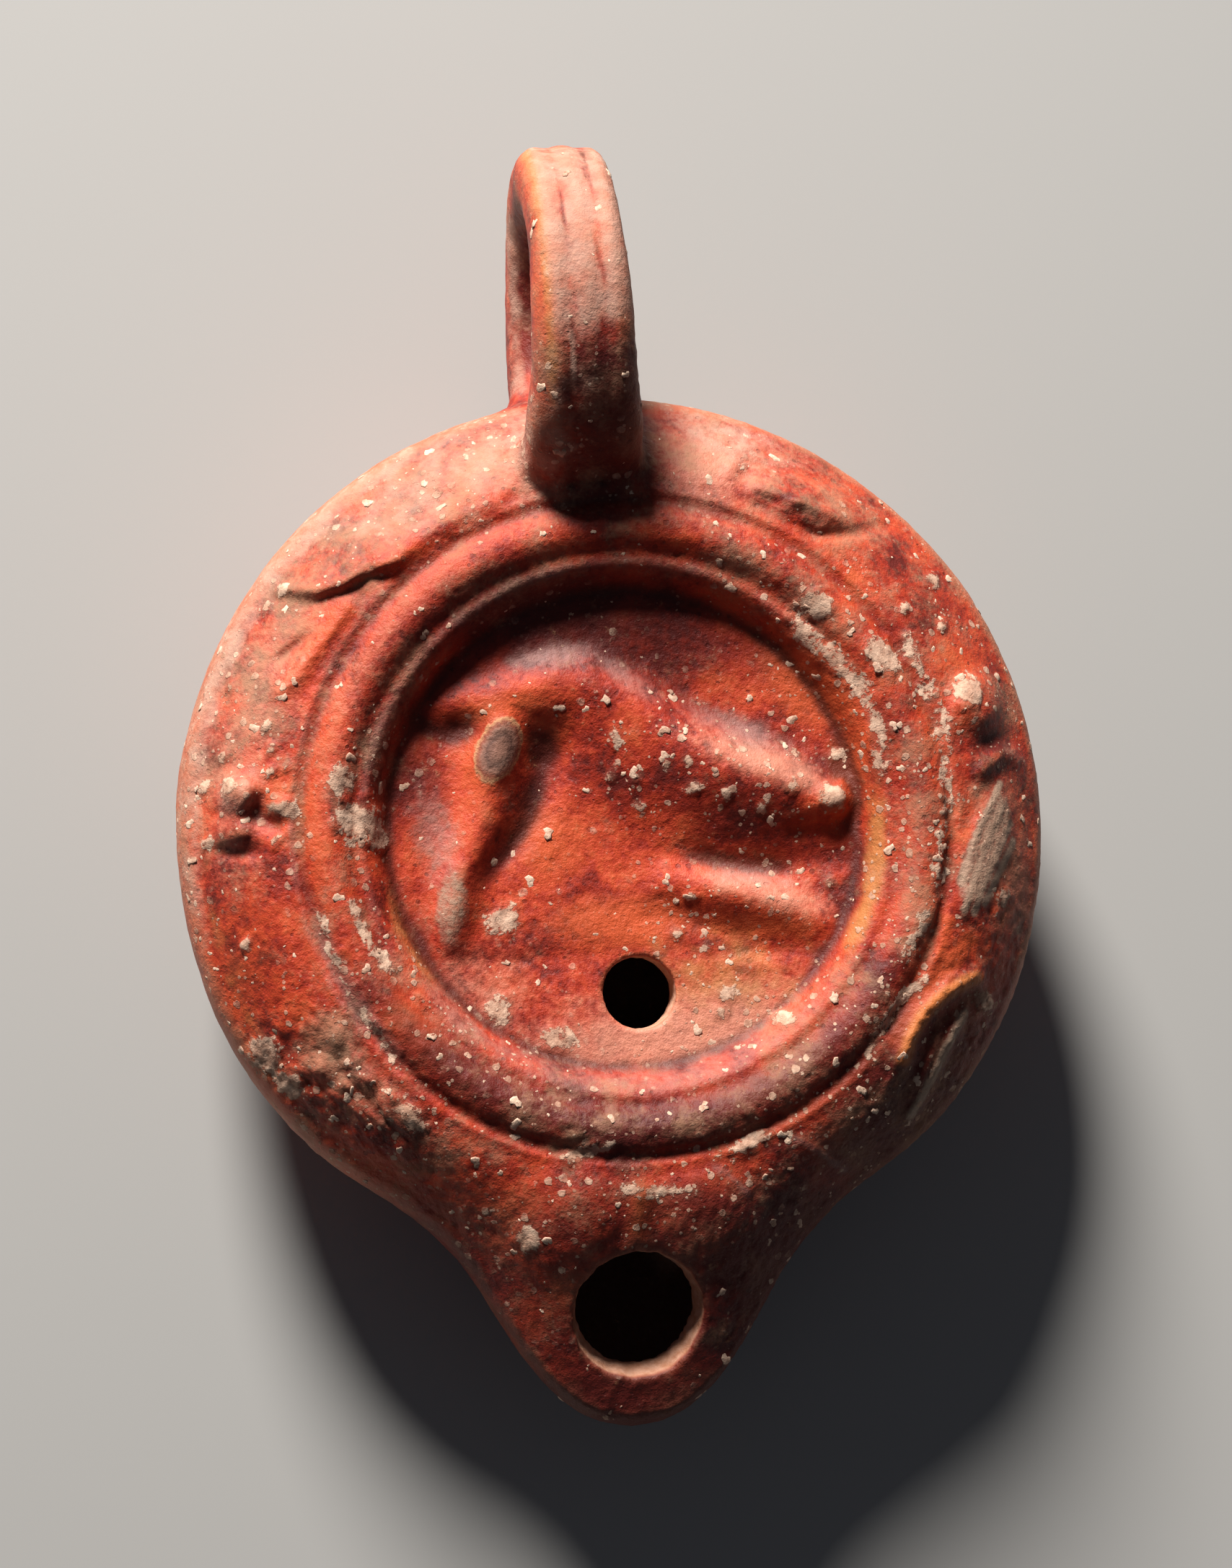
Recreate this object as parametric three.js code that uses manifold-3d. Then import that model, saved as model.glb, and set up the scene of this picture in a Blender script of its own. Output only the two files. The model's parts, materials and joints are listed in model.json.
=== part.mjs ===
// Roman oil lamp of mould-made, red-slipped clay: a round hollow body with a sunken discus, a relief
// of a walking beast, a broad shoulder with worn vine ornament, a heart-rooted nozzle and a ring handle.
// It was pressed in a two-part mould and fired as one piece, so it is one solid here.
// Millimetres, +Z up, origin at the middle of the underside. The nozzle points to -Y, the handle to +Y.

import * as THREE from "three";
import { mergeVertices } from "three/addons/utils/BufferGeometryUtils.js";
import Module from "manifold-3d";

const wasm = await Module();
wasm.setup();

// ---------------------------------------------------------------- driving dimensions

const DEG = Math.PI / 180;

const body = {
  radius: 41, // outline at the mould seam
  seamZ: 15, // height of the mould seam
  edgeInset: 1.5, // bevel between the seam and the shoulder
  edgeZ: 19.2, // outer edge of the shoulder
  rimZ: 24.3, // inner edge of the shoulder, at the ring mouldings
  shoulderFall: 1.7, // how late the shoulder turns down
  wall: 3.3,
};

const nozzle = {
  reach: 55.4, // from the middle of the body to the tip
  spread: 16 * DEG, // half angle at which the nozzle has mostly merged with the body
  taper: 2.27, // roundness of the tip against the flare of the flanks
  waist: 0.6, // how far the outline draws in before the nozzle starts
  waistAt: 33 * DEG,
  waistSpread: 9 * DEG,
  seamZ: 13.4,
  edgeZ: 17.2,
  shoulderFall: 1.25,
  undersideShare: 0.35, // how far its underside leaves the round body's curve for a straighter rise
  undersideRise: 1.6,
  wall: 2.7,
};

const bevel = { across: 0.22, up: 0.55 }; // where its corner lies, from the seam to the shoulder's edge

const foot = {
  radius: 19.5,
  grooveOuter: 17.4,
  grooveInner: 15.6,
  grooveDepth: 0.6,
  grooveSlope: 0.3, // half the width of each sloping side
};

const discus = {
  floorZ: 20.5,
  dish: 0.6, // rise of the floor from the middle to its edge
  floorRadius: 22.6,
  wallRadius: 24.0, // top of the wall around the floor
  reliefRadius: 20.8, // the relief dies away beyond this radius
  reliefFade: 2.0,
  grooveZ: 23.9, // level between the mouldings
};

const innerRidge = { radius: 24.7, halfWidth: 0.8, height: 0.7 };
const band = { radius: 27.8, halfWidth: 2.2, height: 1.8 };
const outerGroove = { radius: 30.2, halfWidth: 0.7, depth: 0.5 };
const lip = { radius: 31.1, halfWidth: 0.9, height: 0.35 };
const RIM_RADIUS = 31.8; // where the shoulder starts

const fillHole = { x: 1.0, y: -15.2, radius: 3.4 };
const wickHole = {
  y: -45.1,
  z: 20.8,
  topRadius: 6.4,
  lowRadius: 5.4,
  depth: 4, // between those two radii
  tilt: 15 * DEG,
};

const chamber = {
  floorRadius: 9, // flat middle of its floor
  roofFrom: 0.9, // its roof starts just inside the shoulder's edge
  sideThinning: 0.9,
  roofInset: 1.3, // its roof is flat inside this distance from the discus floor's edge
};

const handle = {
  turn: 2.3 * DEG, // it is set a little askew, to -X
  shift: -1.7,
  lean: -1.5 * DEG,
  centreY: 48.4,
  centreZ: 21,
  halfLengthFront: 14.1,
  halfLengthRear: 12.1,
  halfHeight: 11.2,
  thicknessOuter: 7.4,
  thicknessRoot: 6.6,
  widthOuter: 8.4,
  widthRoot: 9.6,
  flare: 1.3, // extra width where the strap meets the body
  groovePlace: 1.55, // two grooves leave three ribs
  grooveHalfWidth: 1.2,
  grooveDepth: 0.7,
  grooveFrom: 0.3, // the grooves run on the outer side only
  sideRoundness: 0.85, // below 1, the section is fuller than an oval
  faceRoundness: 0.75,
  bodyReach: 3, // the flare ends this far outside the body
  flareLength: 8,
  startAngle: -152 * DEG, // both ends lie inside the wall of the body
  endAngle: 205 * DEG,
};

// How finely each form is faceted.
const facets = {
  foot: 48,
  footEdge: 60,
  underside: [60, 72, 84, 96, 104, 112, 112], // from the foot out to the seam
  bevel: 112,
  shoulder: 116,
  shoulderSteps: 8,
  shoulderCrowding: 0.9, // below 1, the steps crowd towards the edge
  mouldings: 84,
  floorStep: 1.55,
  floorSpacing: 1.7,
  chamber: 48,
  chamberSteps: 6,
  chamberRoof: 38,
  chamberFloor: 28,
  strapSteps: 26,
  strapCorners: 18,
  fillHole: 28,
  wickHole: 36,
};

// ---------------------------------------------------------------- small shape functions

const mix = (a, b, t) => a + (b - a) * t;
const clamp01 = (t) => Math.min(1, Math.max(0, t));

function smoothStep(t) {
  const c = clamp01(t);
  return c * c * (3 - 2 * c);
}

const sum = (forms, x, y) => forms.reduce((total, form) => total + form(x, y), 0);

// Rounded rise of height 1 at the centre that ends at the half width.
function bump(x, centre, halfWidth) {
  const t = Math.abs(x - centre) / halfWidth;
  return t < 1 ? Math.cos((t * Math.PI) / 2) ** 2 : 0;
}

// Moulding with a full, half-round section.
function roll(x, centre, halfWidth) {
  const t = Math.abs(x - centre) / halfWidth;
  return t < 1 ? Math.sqrt(1 - t ** 2.4) : 0;
}

// Angle away from the nozzle's direction, to either side.
const offNozzle = (angle) => Math.abs(Math.atan2(Math.cos(angle), -Math.sin(angle)));

// 1 along the nozzle, falling to 0 where the round body takes over.
const nozzleShare = (angle) => Math.exp(-((offNozzle(angle) / nozzle.spread) ** nozzle.taper));

// Plan outline at the mould seam, as a radius for each direction.
function outline(angle) {
  const waist = Math.exp(-(((offNozzle(angle) - nozzle.waistAt) / nozzle.waistSpread) ** 2));
  return mix(body.radius, nozzle.reach, nozzleShare(angle)) - nozzle.waist * waist;
}

const wallAt = (angle) => mix(body.wall, nozzle.wall, nozzleShare(angle));

// ---------------------------------------------------------------- relief

// For each stretch of a line through points: how far along it x, y lies, and how far away from it.
function stretches(points, x, y) {
  return points.slice(1).map(([bx, by], i) => {
    const [ax, ay] = points[i];
    const lengthSquared = (bx - ax) ** 2 + (by - ay) ** 2;
    const along = clamp01(((x - ax) * (bx - ax) + (y - ay) * (by - ay)) / lengthSquared);
    return { along, away: Math.hypot(x - mix(ax, bx, along), y - mix(ay, by, along)) };
  });
}

// Each stroke is a soft ridge through its points, or a groove where its height is below zero.
function stroke(points, width, height) {
  return (x, y) => {
    const nearest = Math.min(...stretches(points, x, y).map(({ away }) => away));
    return height * Math.exp(-((nearest / width) ** 2));
  };
}

// Section of a limb or mound: full in the middle, soft at its foot.
const dome = (t) => 1 - smoothStep((t - 0.25) / 0.85);

// A limb through its points, each [x, y, half width].
function limb(points, height) {
  return (x, y) => {
    const domes = stretches(points, x, y).map(({ along, away }, i) =>
      dome(away / mix(points[i][2], points[i + 1][2], along)));
    return height * Math.max(...domes);
  };
}

// An oval mound.
function mound(centre, halfLength, halfWidth, turn, height) {
  const c = Math.cos(turn);
  const s = Math.sin(turn);
  return (x, y) => {
    const along = ((x - centre[0]) * c + (y - centre[1]) * s) / halfLength;
    const across = ((y - centre[1]) * c - (x - centre[0]) * s) / halfWidth;
    return height * dome(Math.hypot(along, across));
  };
}

// The beast walks to the left over a ground line, its rump to the right.
const trunkLine = [[-5.0, 9.5, 8.0], [0.5, 6.0, 9.0], [8.5, 3.6, 7.6], [14.0, 3.0, 6.4], [19.0, 2.4, 4.0]];
const headToForefoot = [
  [-14.0, 10.5, 3.4], [-12.2, 6.5, 5.0], [-13.4, 0.5, 4.2], [-16.3, -6.5, 3.0], [-16.4, -10.4, 2.6],
];
const backOfForeleg = [[-6.7, 12.3], [-7.6, 8.5], [-8.5, 4.5], [-11.7, -2.3], [-13.8, -4.7]];
const beastMasses = [
  limb(trunkLine, 1.9),
  limb(headToForefoot, 1.8),
  limb([[-18.0, 10.8, 1.5], [-13.6, 12.0, 3.0], [-9.5, 12.6, 3.8]], 1.9), // muzzle and brow
  limb([[5.5, -5.0, 2.4], [12.0, -6.3, 3.0], [18.0, -8.7, 2.4]], 1.3), // hind leg
  mound([20.0, 2.0], 2.6, 2.2, 0, 2.4), // tail knob
];
const beastCuts = [
  stroke(backOfForeleg, 1.4, -1.7),
  stroke([[-19.2, 9.2], [-15.8, 8.9]], 1.2, -0.9), // under the muzzle
  stroke([[4.8, -2.7], [11.7, -3.9], [17.0, -3.4]], 1.5, -1.3), // under the belly
  stroke([[16.7, -1.0], [22.0, -0.3]], 0.9, -1.3), // under the tail
  stroke([[3.2, -8.1], [8.4, -9.6], [13.3, -8.8]], 1.0, -0.5), // by the hock
  mound([-11.7, 6.9], 3.4, 2.3, 68 * DEG, 0.4), // worn boss on the shoulder
];

// Masses melt into each other where they meet, and the cuts are taken off the result.
function beast(x, y) {
  const merged = Math.cbrt(beastMasses.reduce((total, mass) => total + mass(x, y) ** 3, 0));
  return merged + sum(beastCuts, x, y);
}

// Worn vine ornament of the shoulder: leaves, knops and a bunch of grapes.
const vine = [
  mound([17.8, 30.4], 8.0, 3.3, -27 * DEG, 1.3),
  stroke([[11.3, 28.6], [17.7, 26.7], [23.5, 28.0]], 0.9, -0.9),
  mound([-20.6, 28.0], 10.0, 3.3, 27 * DEG, 1.1),
  stroke([[-30.4, 22.8], [-26.0, 22.8], [-19.6, 25.5], [-11.3, 29.8]], 0.9, -0.9),
  mound([34.2, 11.1], 3.6, 3.0, 60 * DEG, 1.6),
  stroke([[36.9, 8.0], [34.0, 6.0]], 0.9, -0.7),
  mound([33.5, -2.6], 6.8, 2.5, 68 * DEG, 1.1),
  stroke([[31.8, -15.5], [28.4, -18.0], [25.9, -20.7]], 1.0, 1.0),
  stroke([[31.4, -18.6], [26.3, -26.9]], 1.1, 0.9),
  stroke([[32.9, -22.7], [30.4, -26.6]], 1.0, 0.6),
  stroke([[29.4, -17.2], [25.0, -24.0]], 0.9, -0.7),
  mound([-35.7, 3.5], 2.8, 2.5, 0, 1.2),
  mound([-36.1, 0.2], 2.2, 1.6, 0, 0.9),
  stroke([[-37.2, -1.5], [-34.6, -1.4]], 0.7, -0.8),
];

const grapes = {
  rows: 3,
  columns: 4,
  radius: 33.0,
  rowStep: 2.3,
  firstAngle: 212 * DEG,
  columnStep: 5.4 * DEG,
  size: 1.5,
  height: 0.6,
};
for (let row = 0; row < grapes.rows; row++) {
  for (let column = 0; column < grapes.columns; column++) {
    const angle = grapes.firstAngle + (column + 0.5 * (row % 2)) * grapes.columnStep;
    const radius = grapes.radius + row * grapes.rowStep;
    const centre = [radius * Math.cos(angle), radius * Math.sin(angle)];
    vine.push(mound(centre, grapes.size, grapes.size, 0, grapes.height));
  }
}

// Two low lobes make the heart-shaped root of the nozzle.
const lobe = { x: 6.2, y: -36.4, halfLength: 7.2, halfWidth: 5.6, turn: 38 * DEG, height: 0.8 };
const heart = [-1, 1].map((side) =>
  mound([side * lobe.x, lobe.y], lobe.halfLength, lobe.halfWidth, -side * lobe.turn, lobe.height));

// ---------------------------------------------------------------- the outer skin

// Height of the discus and of the ring mouldings around it.
function discusHeight(x, y) {
  const r = Math.hypot(x, y);
  const floor = discus.floorZ + discus.dish * (r / discus.floorRadius) ** 2;
  const wall = smoothStep((r - discus.floorRadius) / (discus.wallRadius - discus.floorRadius));
  const level = mix(discus.grooveZ, body.rimZ, smoothStep((r - band.radius) / (RIM_RADIUS - band.radius)));
  const relief = beast(x, y) * (1 - smoothStep((r - discus.reliefRadius) / discus.reliefFade));
  return mix(floor + relief, level, wall)
    + innerRidge.height * bump(r, innerRidge.radius, innerRidge.halfWidth)
    + band.height * roll(r, band.radius, band.halfWidth)
    - outerGroove.depth * bump(r, outerGroove.radius, outerGroove.halfWidth)
    + lip.height * bump(r, lip.radius, lip.halfWidth);
}

// The relief of the shoulder sinks into the bevel at t = 1.
const shoulderRelief = (x, y, t) => (sum(vine, x, y) + sum(heart, x, y)) * (1 - t ** 6);

// A point of the shoulder before its relief: t runs from 0 at the mouldings to 1 at the bevel above the seam.
function plainShoulder(angle, t) {
  const share = nozzleShare(angle);
  const r = mix(RIM_RADIUS, outline(angle) - body.edgeInset, t);
  const fall = t ** mix(body.shoulderFall, nozzle.shoulderFall, share);
  const z = mix(body.rimZ, mix(body.edgeZ, nozzle.edgeZ, share), fall);
  return new THREE.Vector3(r * Math.cos(angle), r * Math.sin(angle), z);
}

function shoulderPoint(angle, t) {
  const point = plainShoulder(angle, t);
  point.z += shoulderRelief(point.x, point.y, t);
  return point;
}

// A point of the underside: t runs from 0 at the foot to 1 at the seam.
function undersidePoint(angle, t, inset = 0) {
  const share = nozzleShare(angle);
  const start = foot.radius - inset;
  const out = Math.sin((t * Math.PI) / 2);
  const up = mix(1 - Math.cos((t * Math.PI) / 2), t ** nozzle.undersideRise, share * nozzle.undersideShare);
  const r = mix(start, outline(angle) - inset, out);
  const z = mix(inset, mix(body.seamZ, nozzle.seamZ, share), up);
  return new THREE.Vector3(r * Math.cos(angle), r * Math.sin(angle), z);
}

// A closed loop of points, one for each of count directions.
function loop(count, pointAt) {
  return Array.from({ length: count }, (_, i) => pointAt((i / count) * 2 * Math.PI));
}

const flatLoop = (count, r, z) => loop(count, (a) => new THREE.Vector3(r * Math.cos(a), r * Math.sin(a), z));

const discusLoop = (count, r) =>
  loop(count, (a) => {
    const x = r * Math.cos(a);
    const y = r * Math.sin(a);
    return new THREE.Vector3(x, y, discusHeight(x, y));
  });

// Joins loops of any counts into one closed skin. The first and the last are single points.
function skin(loops) {
  const positions = [];
  const starts = [];
  for (const points of loops) {
    starts.push(positions.length / 3);
    points.forEach((p) => positions.push(p.x, p.y, p.z));
  }
  const index = [];
  for (let k = 0; k + 1 < loops.length; k++) {
    const low = loops[k].length;
    const high = loops[k + 1].length;
    let i = 0;
    let j = 0;
    while (i < low || j < high) {
      const stepLow = j >= high || (i < low && (i + 1) / low <= (j + 1) / high);
      const a = starts[k] + (i % low);
      const b = starts[k + 1] + (j % high);
      if (stepLow) {
        if (low > 1) index.push(a, starts[k] + ((i + 1) % low), b);
        i++;
      } else {
        if (high > 1) index.push(a, starts[k + 1] + ((j + 1) % high), b);
        j++;
      }
    }
  }
  const geometry = new THREE.BufferGeometry();
  geometry.setAttribute("position", new THREE.Float32BufferAttribute(positions, 3));
  geometry.setIndex(index);
  return geometry;
}

// Loops run over the mouldings at these radii, so that each keeps its crest and its foot.
const across = (moulding, places) => places.map((place) => moulding.radius + place * moulding.halfWidth);
const mouldingRadii = [
  ...across(lip, [0.56, 0, -0.56]),
  ...across(outerGroove, [0]),
  ...across(band, [0.95, 0.73, 0.27, -0.27, -0.77, -1]),
  ...across(innerRidge, [0.62, 0, -0.75]),
  mix(discus.floorRadius, discus.wallRadius, 0.57),
  discus.floorRadius,
];

function footLoops() {
  const { grooveInner, grooveOuter, grooveDepth, grooveSlope } = foot;
  return [
    [new THREE.Vector3(0, 0, 0)],
    flatLoop(facets.foot, grooveInner - grooveSlope, 0),
    flatLoop(facets.foot, grooveInner + grooveSlope, grooveDepth),
    flatLoop(facets.foot, grooveOuter - grooveSlope, grooveDepth),
    flatLoop(facets.foot, grooveOuter + grooveSlope, 0),
    flatLoop(facets.footEdge, foot.radius, 0),
  ];
}

// The rounded corner between the seam and the shoulder.
function bevelPoint(angle) {
  const seam = undersidePoint(angle, 1);
  const edge = shoulderPoint(angle, 1);
  const x = mix(seam.x, edge.x, bevel.across);
  const y = mix(seam.y, edge.y, bevel.across);
  return new THREE.Vector3(x, y, mix(seam.z, edge.z, bevel.up));
}

function outerSkin() {
  const loops = footLoops();
  facets.underside.forEach((count, i) => {
    loops.push(loop(count, (a) => undersidePoint(a, (i + 1) / facets.underside.length)));
  });
  loops.push(loop(facets.bevel, bevelPoint));
  for (let i = facets.shoulderSteps; i > 0; i--) {
    const t = (i / facets.shoulderSteps) ** facets.shoulderCrowding;
    loops.push(loop(facets.shoulder, (a) => shoulderPoint(a, t)));
  }
  mouldingRadii.forEach((r) => loops.push(discusLoop(facets.mouldings, r)));
  for (let r = discus.floorRadius - facets.floorStep; r > facets.floorStep; r -= facets.floorStep) {
    loops.push(discusLoop(Math.round((2 * Math.PI * r) / facets.floorSpacing), r));
  }
  loops.push([new THREE.Vector3(0, 0, discusHeight(0, 0))]);
  return skin(loops);
}

// ---------------------------------------------------------------- the oil chamber

// A point of the roof, one wall below the shoulder.
function roofPoint(angle, t) {
  const top = plainShoulder(angle, t);
  const wall = wallAt(angle);
  const inwards = 1 - (wall * t * chamber.sideThinning) / Math.hypot(top.x, top.y);
  return new THREE.Vector3(top.x * inwards, top.y * inwards, top.z - wall);
}

function chamberSkin() {
  const roofZ = discus.floorZ - body.wall;
  const loops = [[new THREE.Vector3(0, 0, body.wall)]];
  loops.push(flatLoop(facets.chamberFloor, chamber.floorRadius, body.wall));
  for (let i = 0; i <= facets.chamberSteps; i++) {
    loops.push(loop(facets.chamber, (a) => undersidePoint(a, i / facets.chamberSteps, wallAt(a))));
  }
  for (const share of [1, 2 / 3, 1 / 3, 0]) {
    loops.push(loop(facets.chamber, (a) => roofPoint(a, chamber.roofFrom * share)));
  }
  loops.push(flatLoop(facets.chamberRoof, band.radius - band.halfWidth, discus.grooveZ - body.wall));
  loops.push(flatLoop(facets.chamberRoof, discus.floorRadius - chamber.roofInset, roofZ));
  loops.push([new THREE.Vector3(0, 0, roofZ)]);
  return skin(loops);
}

// ---------------------------------------------------------------- the ring handle

// Section of the strap: across is along X, out points away from the middle of the loop.
function strapPoint(corner, width, thickness) {
  const fuller = (value, power) => Math.sign(value) * Math.abs(value) ** power;
  const onOuterSide = Math.sin(corner) > handle.grooveFrom;
  const across = (width / 2) * fuller(Math.cos(corner), handle.sideRoundness);
  const groove = handle.grooveDepth * bump(Math.abs(across), handle.groovePlace, handle.grooveHalfWidth);
  const out = (thickness / 2) * fuller(Math.sin(corner), handle.faceRoundness);
  return { across, out: onOuterSide ? out - groove : out };
}

// One section of the strap, where the loop has turned by u from its rear.
function strapLoop(u) {
  const rear = smoothStep(0.5 + 0.7 * Math.cos(u));
  const halfLength = Math.cos(u) > 0 ? handle.halfLengthRear : handle.halfLengthFront;
  const y = handle.centreY + halfLength * Math.cos(u);
  const z = handle.centreZ + handle.halfHeight * Math.sin(u);
  const atBody = smoothStep((body.radius + handle.bodyReach - y) / handle.flareLength);
  const width = mix(handle.widthRoot, handle.widthOuter, rear) + handle.flare * atBody ** 2;
  const thickness = mix(handle.thicknessRoot, handle.thicknessOuter, rear);
  return loop(facets.strapCorners, (corner) => {
    const { across, out } = strapPoint(corner, width, thickness);
    const height = z + out * Math.sin(u);
    const lean = (height - handle.centreZ) * Math.tan(handle.lean);
    return new THREE.Vector3(across + handle.shift + lean, y + out * Math.cos(u), height);
  });
}

function middle(points) {
  const centre = new THREE.Vector3();
  points.forEach((point) => centre.addScaledVector(point, 1 / points.length));
  return centre;
}

function handleSkin() {
  const loops = [];
  for (let i = 0; i <= facets.strapSteps; i++) {
    loops.push(strapLoop(mix(handle.startAngle, handle.endAngle, i / facets.strapSteps)));
  }
  const geometry = skin([[middle(loops[0])], ...loops, [middle(loops[loops.length - 1])]]);
  geometry.rotateZ(handle.turn);
  return geometry;
}

// ---------------------------------------------------------------- holes

function fillHoleCutter() {
  const height = 12;
  const geometry = new THREE.CylinderGeometry(fillHole.radius, fillHole.radius, height, facets.fillHole);
  geometry.rotateX(Math.PI / 2);
  geometry.translate(fillHole.x, fillHole.y, discus.floorZ);
  return geometry;
}

function wickHoleCutter() {
  const above = 4;
  const below = 8;
  const slope = (wickHole.topRadius - wickHole.lowRadius) / wickHole.depth;
  const wide = wickHole.topRadius + slope * above;
  const narrow = wickHole.topRadius - slope * below;
  const geometry = new THREE.CylinderGeometry(wide, narrow, above + below, facets.wickHole);
  geometry.rotateX(Math.PI / 2);
  geometry.translate(0, 0, (above - below) / 2);
  geometry.rotateX(wickHole.tilt);
  geometry.translate(0, wickHole.y, wickHole.z);
  return geometry;
}

// ---------------------------------------------------------------- joining and cutting

const MERGE_DISTANCE = 1e-4;
const SLIVER_SIZE = 0.01; // slivers that the cuts leave are closed below this size

function toSolid(geometry) {
  const bare = geometry.clone();
  bare.deleteAttribute("normal");
  bare.deleteAttribute("uv");
  const merged = mergeVertices(bare, MERGE_DISTANCE);
  return new wasm.Manifold(new wasm.Mesh({
    numProp: 3,
    vertProperties: new Float32Array(merged.attributes.position.array),
    triVerts: new Uint32Array(merged.index.array),
  }));
}

function toGeometry(solid) {
  const mesh = solid.getMesh();
  const geometry = new THREE.BufferGeometry();
  geometry.setAttribute("position", new THREE.Float32BufferAttribute(mesh.vertProperties, 3));
  geometry.setIndex(Array.from(mesh.triVerts));
  geometry.computeVertexNormals();
  return geometry;
}

const lampSolid = toSolid(outerSkin())
  .add(toSolid(handleSkin()))
  .subtract(toSolid(chamberSkin()))
  .subtract(toSolid(fillHoleCutter()))
  .subtract(toSolid(wickHoleCutter()))
  .simplify(SLIVER_SIZE);

const terracotta = new THREE.MeshStandardMaterial({ color: 0xa2402a, roughness: 0.62, metalness: 0 });

const lamp = new THREE.Mesh(toGeometry(lampSolid), terracotta);
lamp.name = "lamp";

const group = new THREE.Group();
group.add(lamp);

export default group;
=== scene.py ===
# %% [markdown]
# # A Roman oil lamp
#
# This lesson dresses a small clay lamp, 82 mm across, that stands on a shelf by its own weight.
# The real lamp was pressed in a two-part plaster mould, joined along its widest line, dipped in a
# thin red slip and fired. Two thousand years have rubbed the slip off its high places, filled its
# grooves with dirt and left a crust of lime on it.
#
# Blender works in metres, but a potter's sizes are easier to read in millimetres, so the shapes are
# worked out in millimetres and scaled once, when each mesh is made.

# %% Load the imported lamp
import json
import math

import bmesh
import bpy
import numpy as np
from mathutils import Matrix, Vector, noise
from mathutils.bvhtree import BVHTree
from mathutils.kdtree import KDTree

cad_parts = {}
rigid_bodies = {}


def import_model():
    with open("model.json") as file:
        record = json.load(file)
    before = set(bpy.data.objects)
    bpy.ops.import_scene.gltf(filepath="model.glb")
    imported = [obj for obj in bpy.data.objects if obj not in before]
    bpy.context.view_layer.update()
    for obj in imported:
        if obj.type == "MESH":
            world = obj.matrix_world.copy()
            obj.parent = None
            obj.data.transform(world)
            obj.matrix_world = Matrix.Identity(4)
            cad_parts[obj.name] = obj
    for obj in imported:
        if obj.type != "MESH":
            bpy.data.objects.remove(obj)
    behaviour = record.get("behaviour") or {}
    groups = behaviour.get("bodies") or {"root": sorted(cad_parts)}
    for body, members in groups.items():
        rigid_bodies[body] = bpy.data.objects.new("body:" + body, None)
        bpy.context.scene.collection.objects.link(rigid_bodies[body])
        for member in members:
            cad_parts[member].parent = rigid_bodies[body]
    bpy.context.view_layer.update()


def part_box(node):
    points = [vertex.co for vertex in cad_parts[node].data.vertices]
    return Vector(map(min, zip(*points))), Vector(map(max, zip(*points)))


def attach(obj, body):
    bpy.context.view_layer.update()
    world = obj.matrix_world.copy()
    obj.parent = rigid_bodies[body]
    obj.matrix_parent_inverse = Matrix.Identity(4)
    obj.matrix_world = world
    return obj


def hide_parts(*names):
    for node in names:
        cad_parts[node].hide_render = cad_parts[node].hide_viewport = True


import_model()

MM = 0.001
low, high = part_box("lamp")
body_radius = high.x / MM
nozzle_reach = -low.y / MM
print("lamp from", [round(v / MM, 1) for v in low], "to", [round(v / MM, 1) for v in high], "mm")

# %% [markdown]
# ## The camera
#
# The lamp is seen from nearly straight above, from a little to the left and the front, with the
# handle away from the viewer. A camera is easiest to place by what it looks at: here that is the
# middle of the body at the height of the mould seam. The small tilts are turned into a direction,
# and the camera backs off along it. Its lens then follows from how much of the lamp has to show.

# %% Place the camera
VIEW_DISTANCE = 400
TILT_LEFT = math.radians(8.9)
TILT_FRONT = math.radians(2.93)
ROLL = math.radians(2.0)
SEAM_HEIGHT = 15
AIM_SIDE, AIM_UP = 0.24, 4.55
FRAME_HEIGHT = 147.6
SENSOR = 36

seam_centre = Vector((0, 0, SEAM_HEIGHT))
towards_camera = Vector((-math.tan(TILT_LEFT), -math.tan(TILT_FRONT), 1)).normalized()
camera_place = seam_centre + VIEW_DISTANCE * towards_camera
level_right = Vector((0, 1, 0)).cross(towards_camera).normalized()
level_up = towards_camera.cross(level_right)
right = math.cos(ROLL) * level_right - math.sin(ROLL) * level_up
up = math.sin(ROLL) * level_right + math.cos(ROLL) * level_up
aim = seam_centre + AIM_SIDE * right + AIM_UP * up
backwards = (camera_place - aim).normalized()
right = (right - right.dot(backwards) * backwards).normalized()
up = backwards.cross(right)

camera = bpy.data.objects.new("camera", bpy.data.cameras.new("camera"))
bpy.context.scene.collection.objects.link(camera)
facing = Matrix((right, up, backwards)).transposed().to_4x4()
camera.matrix_world = Matrix.Translation(camera_place * MM) @ facing
camera.data.sensor_width = SENSOR
camera.data.lens = SENSOR * VIEW_DISTANCE / FRAME_HEIGHT
camera.data.clip_start, camera.data.clip_end = 0.01, 10
bpy.context.scene.camera = camera
print("lens", round(camera.data.lens, 1), "mm, camera", round(camera_place.z), "mm up")

# %% [markdown]
# ## The outline of the lamp, as a rule
#
# Seen from above, the lamp is a circle with a rounded nozzle growing out of it. One rule gives the
# distance from the middle to the edge in every direction, so nothing has to be traced: a bell-shaped
# share is 1 along the nozzle and falls to 0 where the round body takes over.
#
# The functions take whole arrays of points at once, which keeps a mesh of a hundred thousand points
# quick. `rise` goes softly from 0 to 1 over a width, and `fall` from 1 to 0.

# %% Small functions for shapes
def mix(a, b, t):
    return a + (b - a) * t


def smooth_step(t):
    t = np.clip(t, 0, 1)
    return t * t * (3 - 2 * t)


def rise(value, start, width):
    return smooth_step((value - start) / width)


def fall(value, start, width):
    return 1 - rise(value, start, width)


def bump(x, centre, half_width):
    t = np.clip(np.abs(x - centre) / half_width, 0, 1)
    return np.cos(t * math.pi / 2) ** 2


def roll(x, centre, half_width):
    t = np.clip(np.abs(x - centre) / half_width, 0, 1)
    return (1 - t**2) ** 1.15


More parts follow.
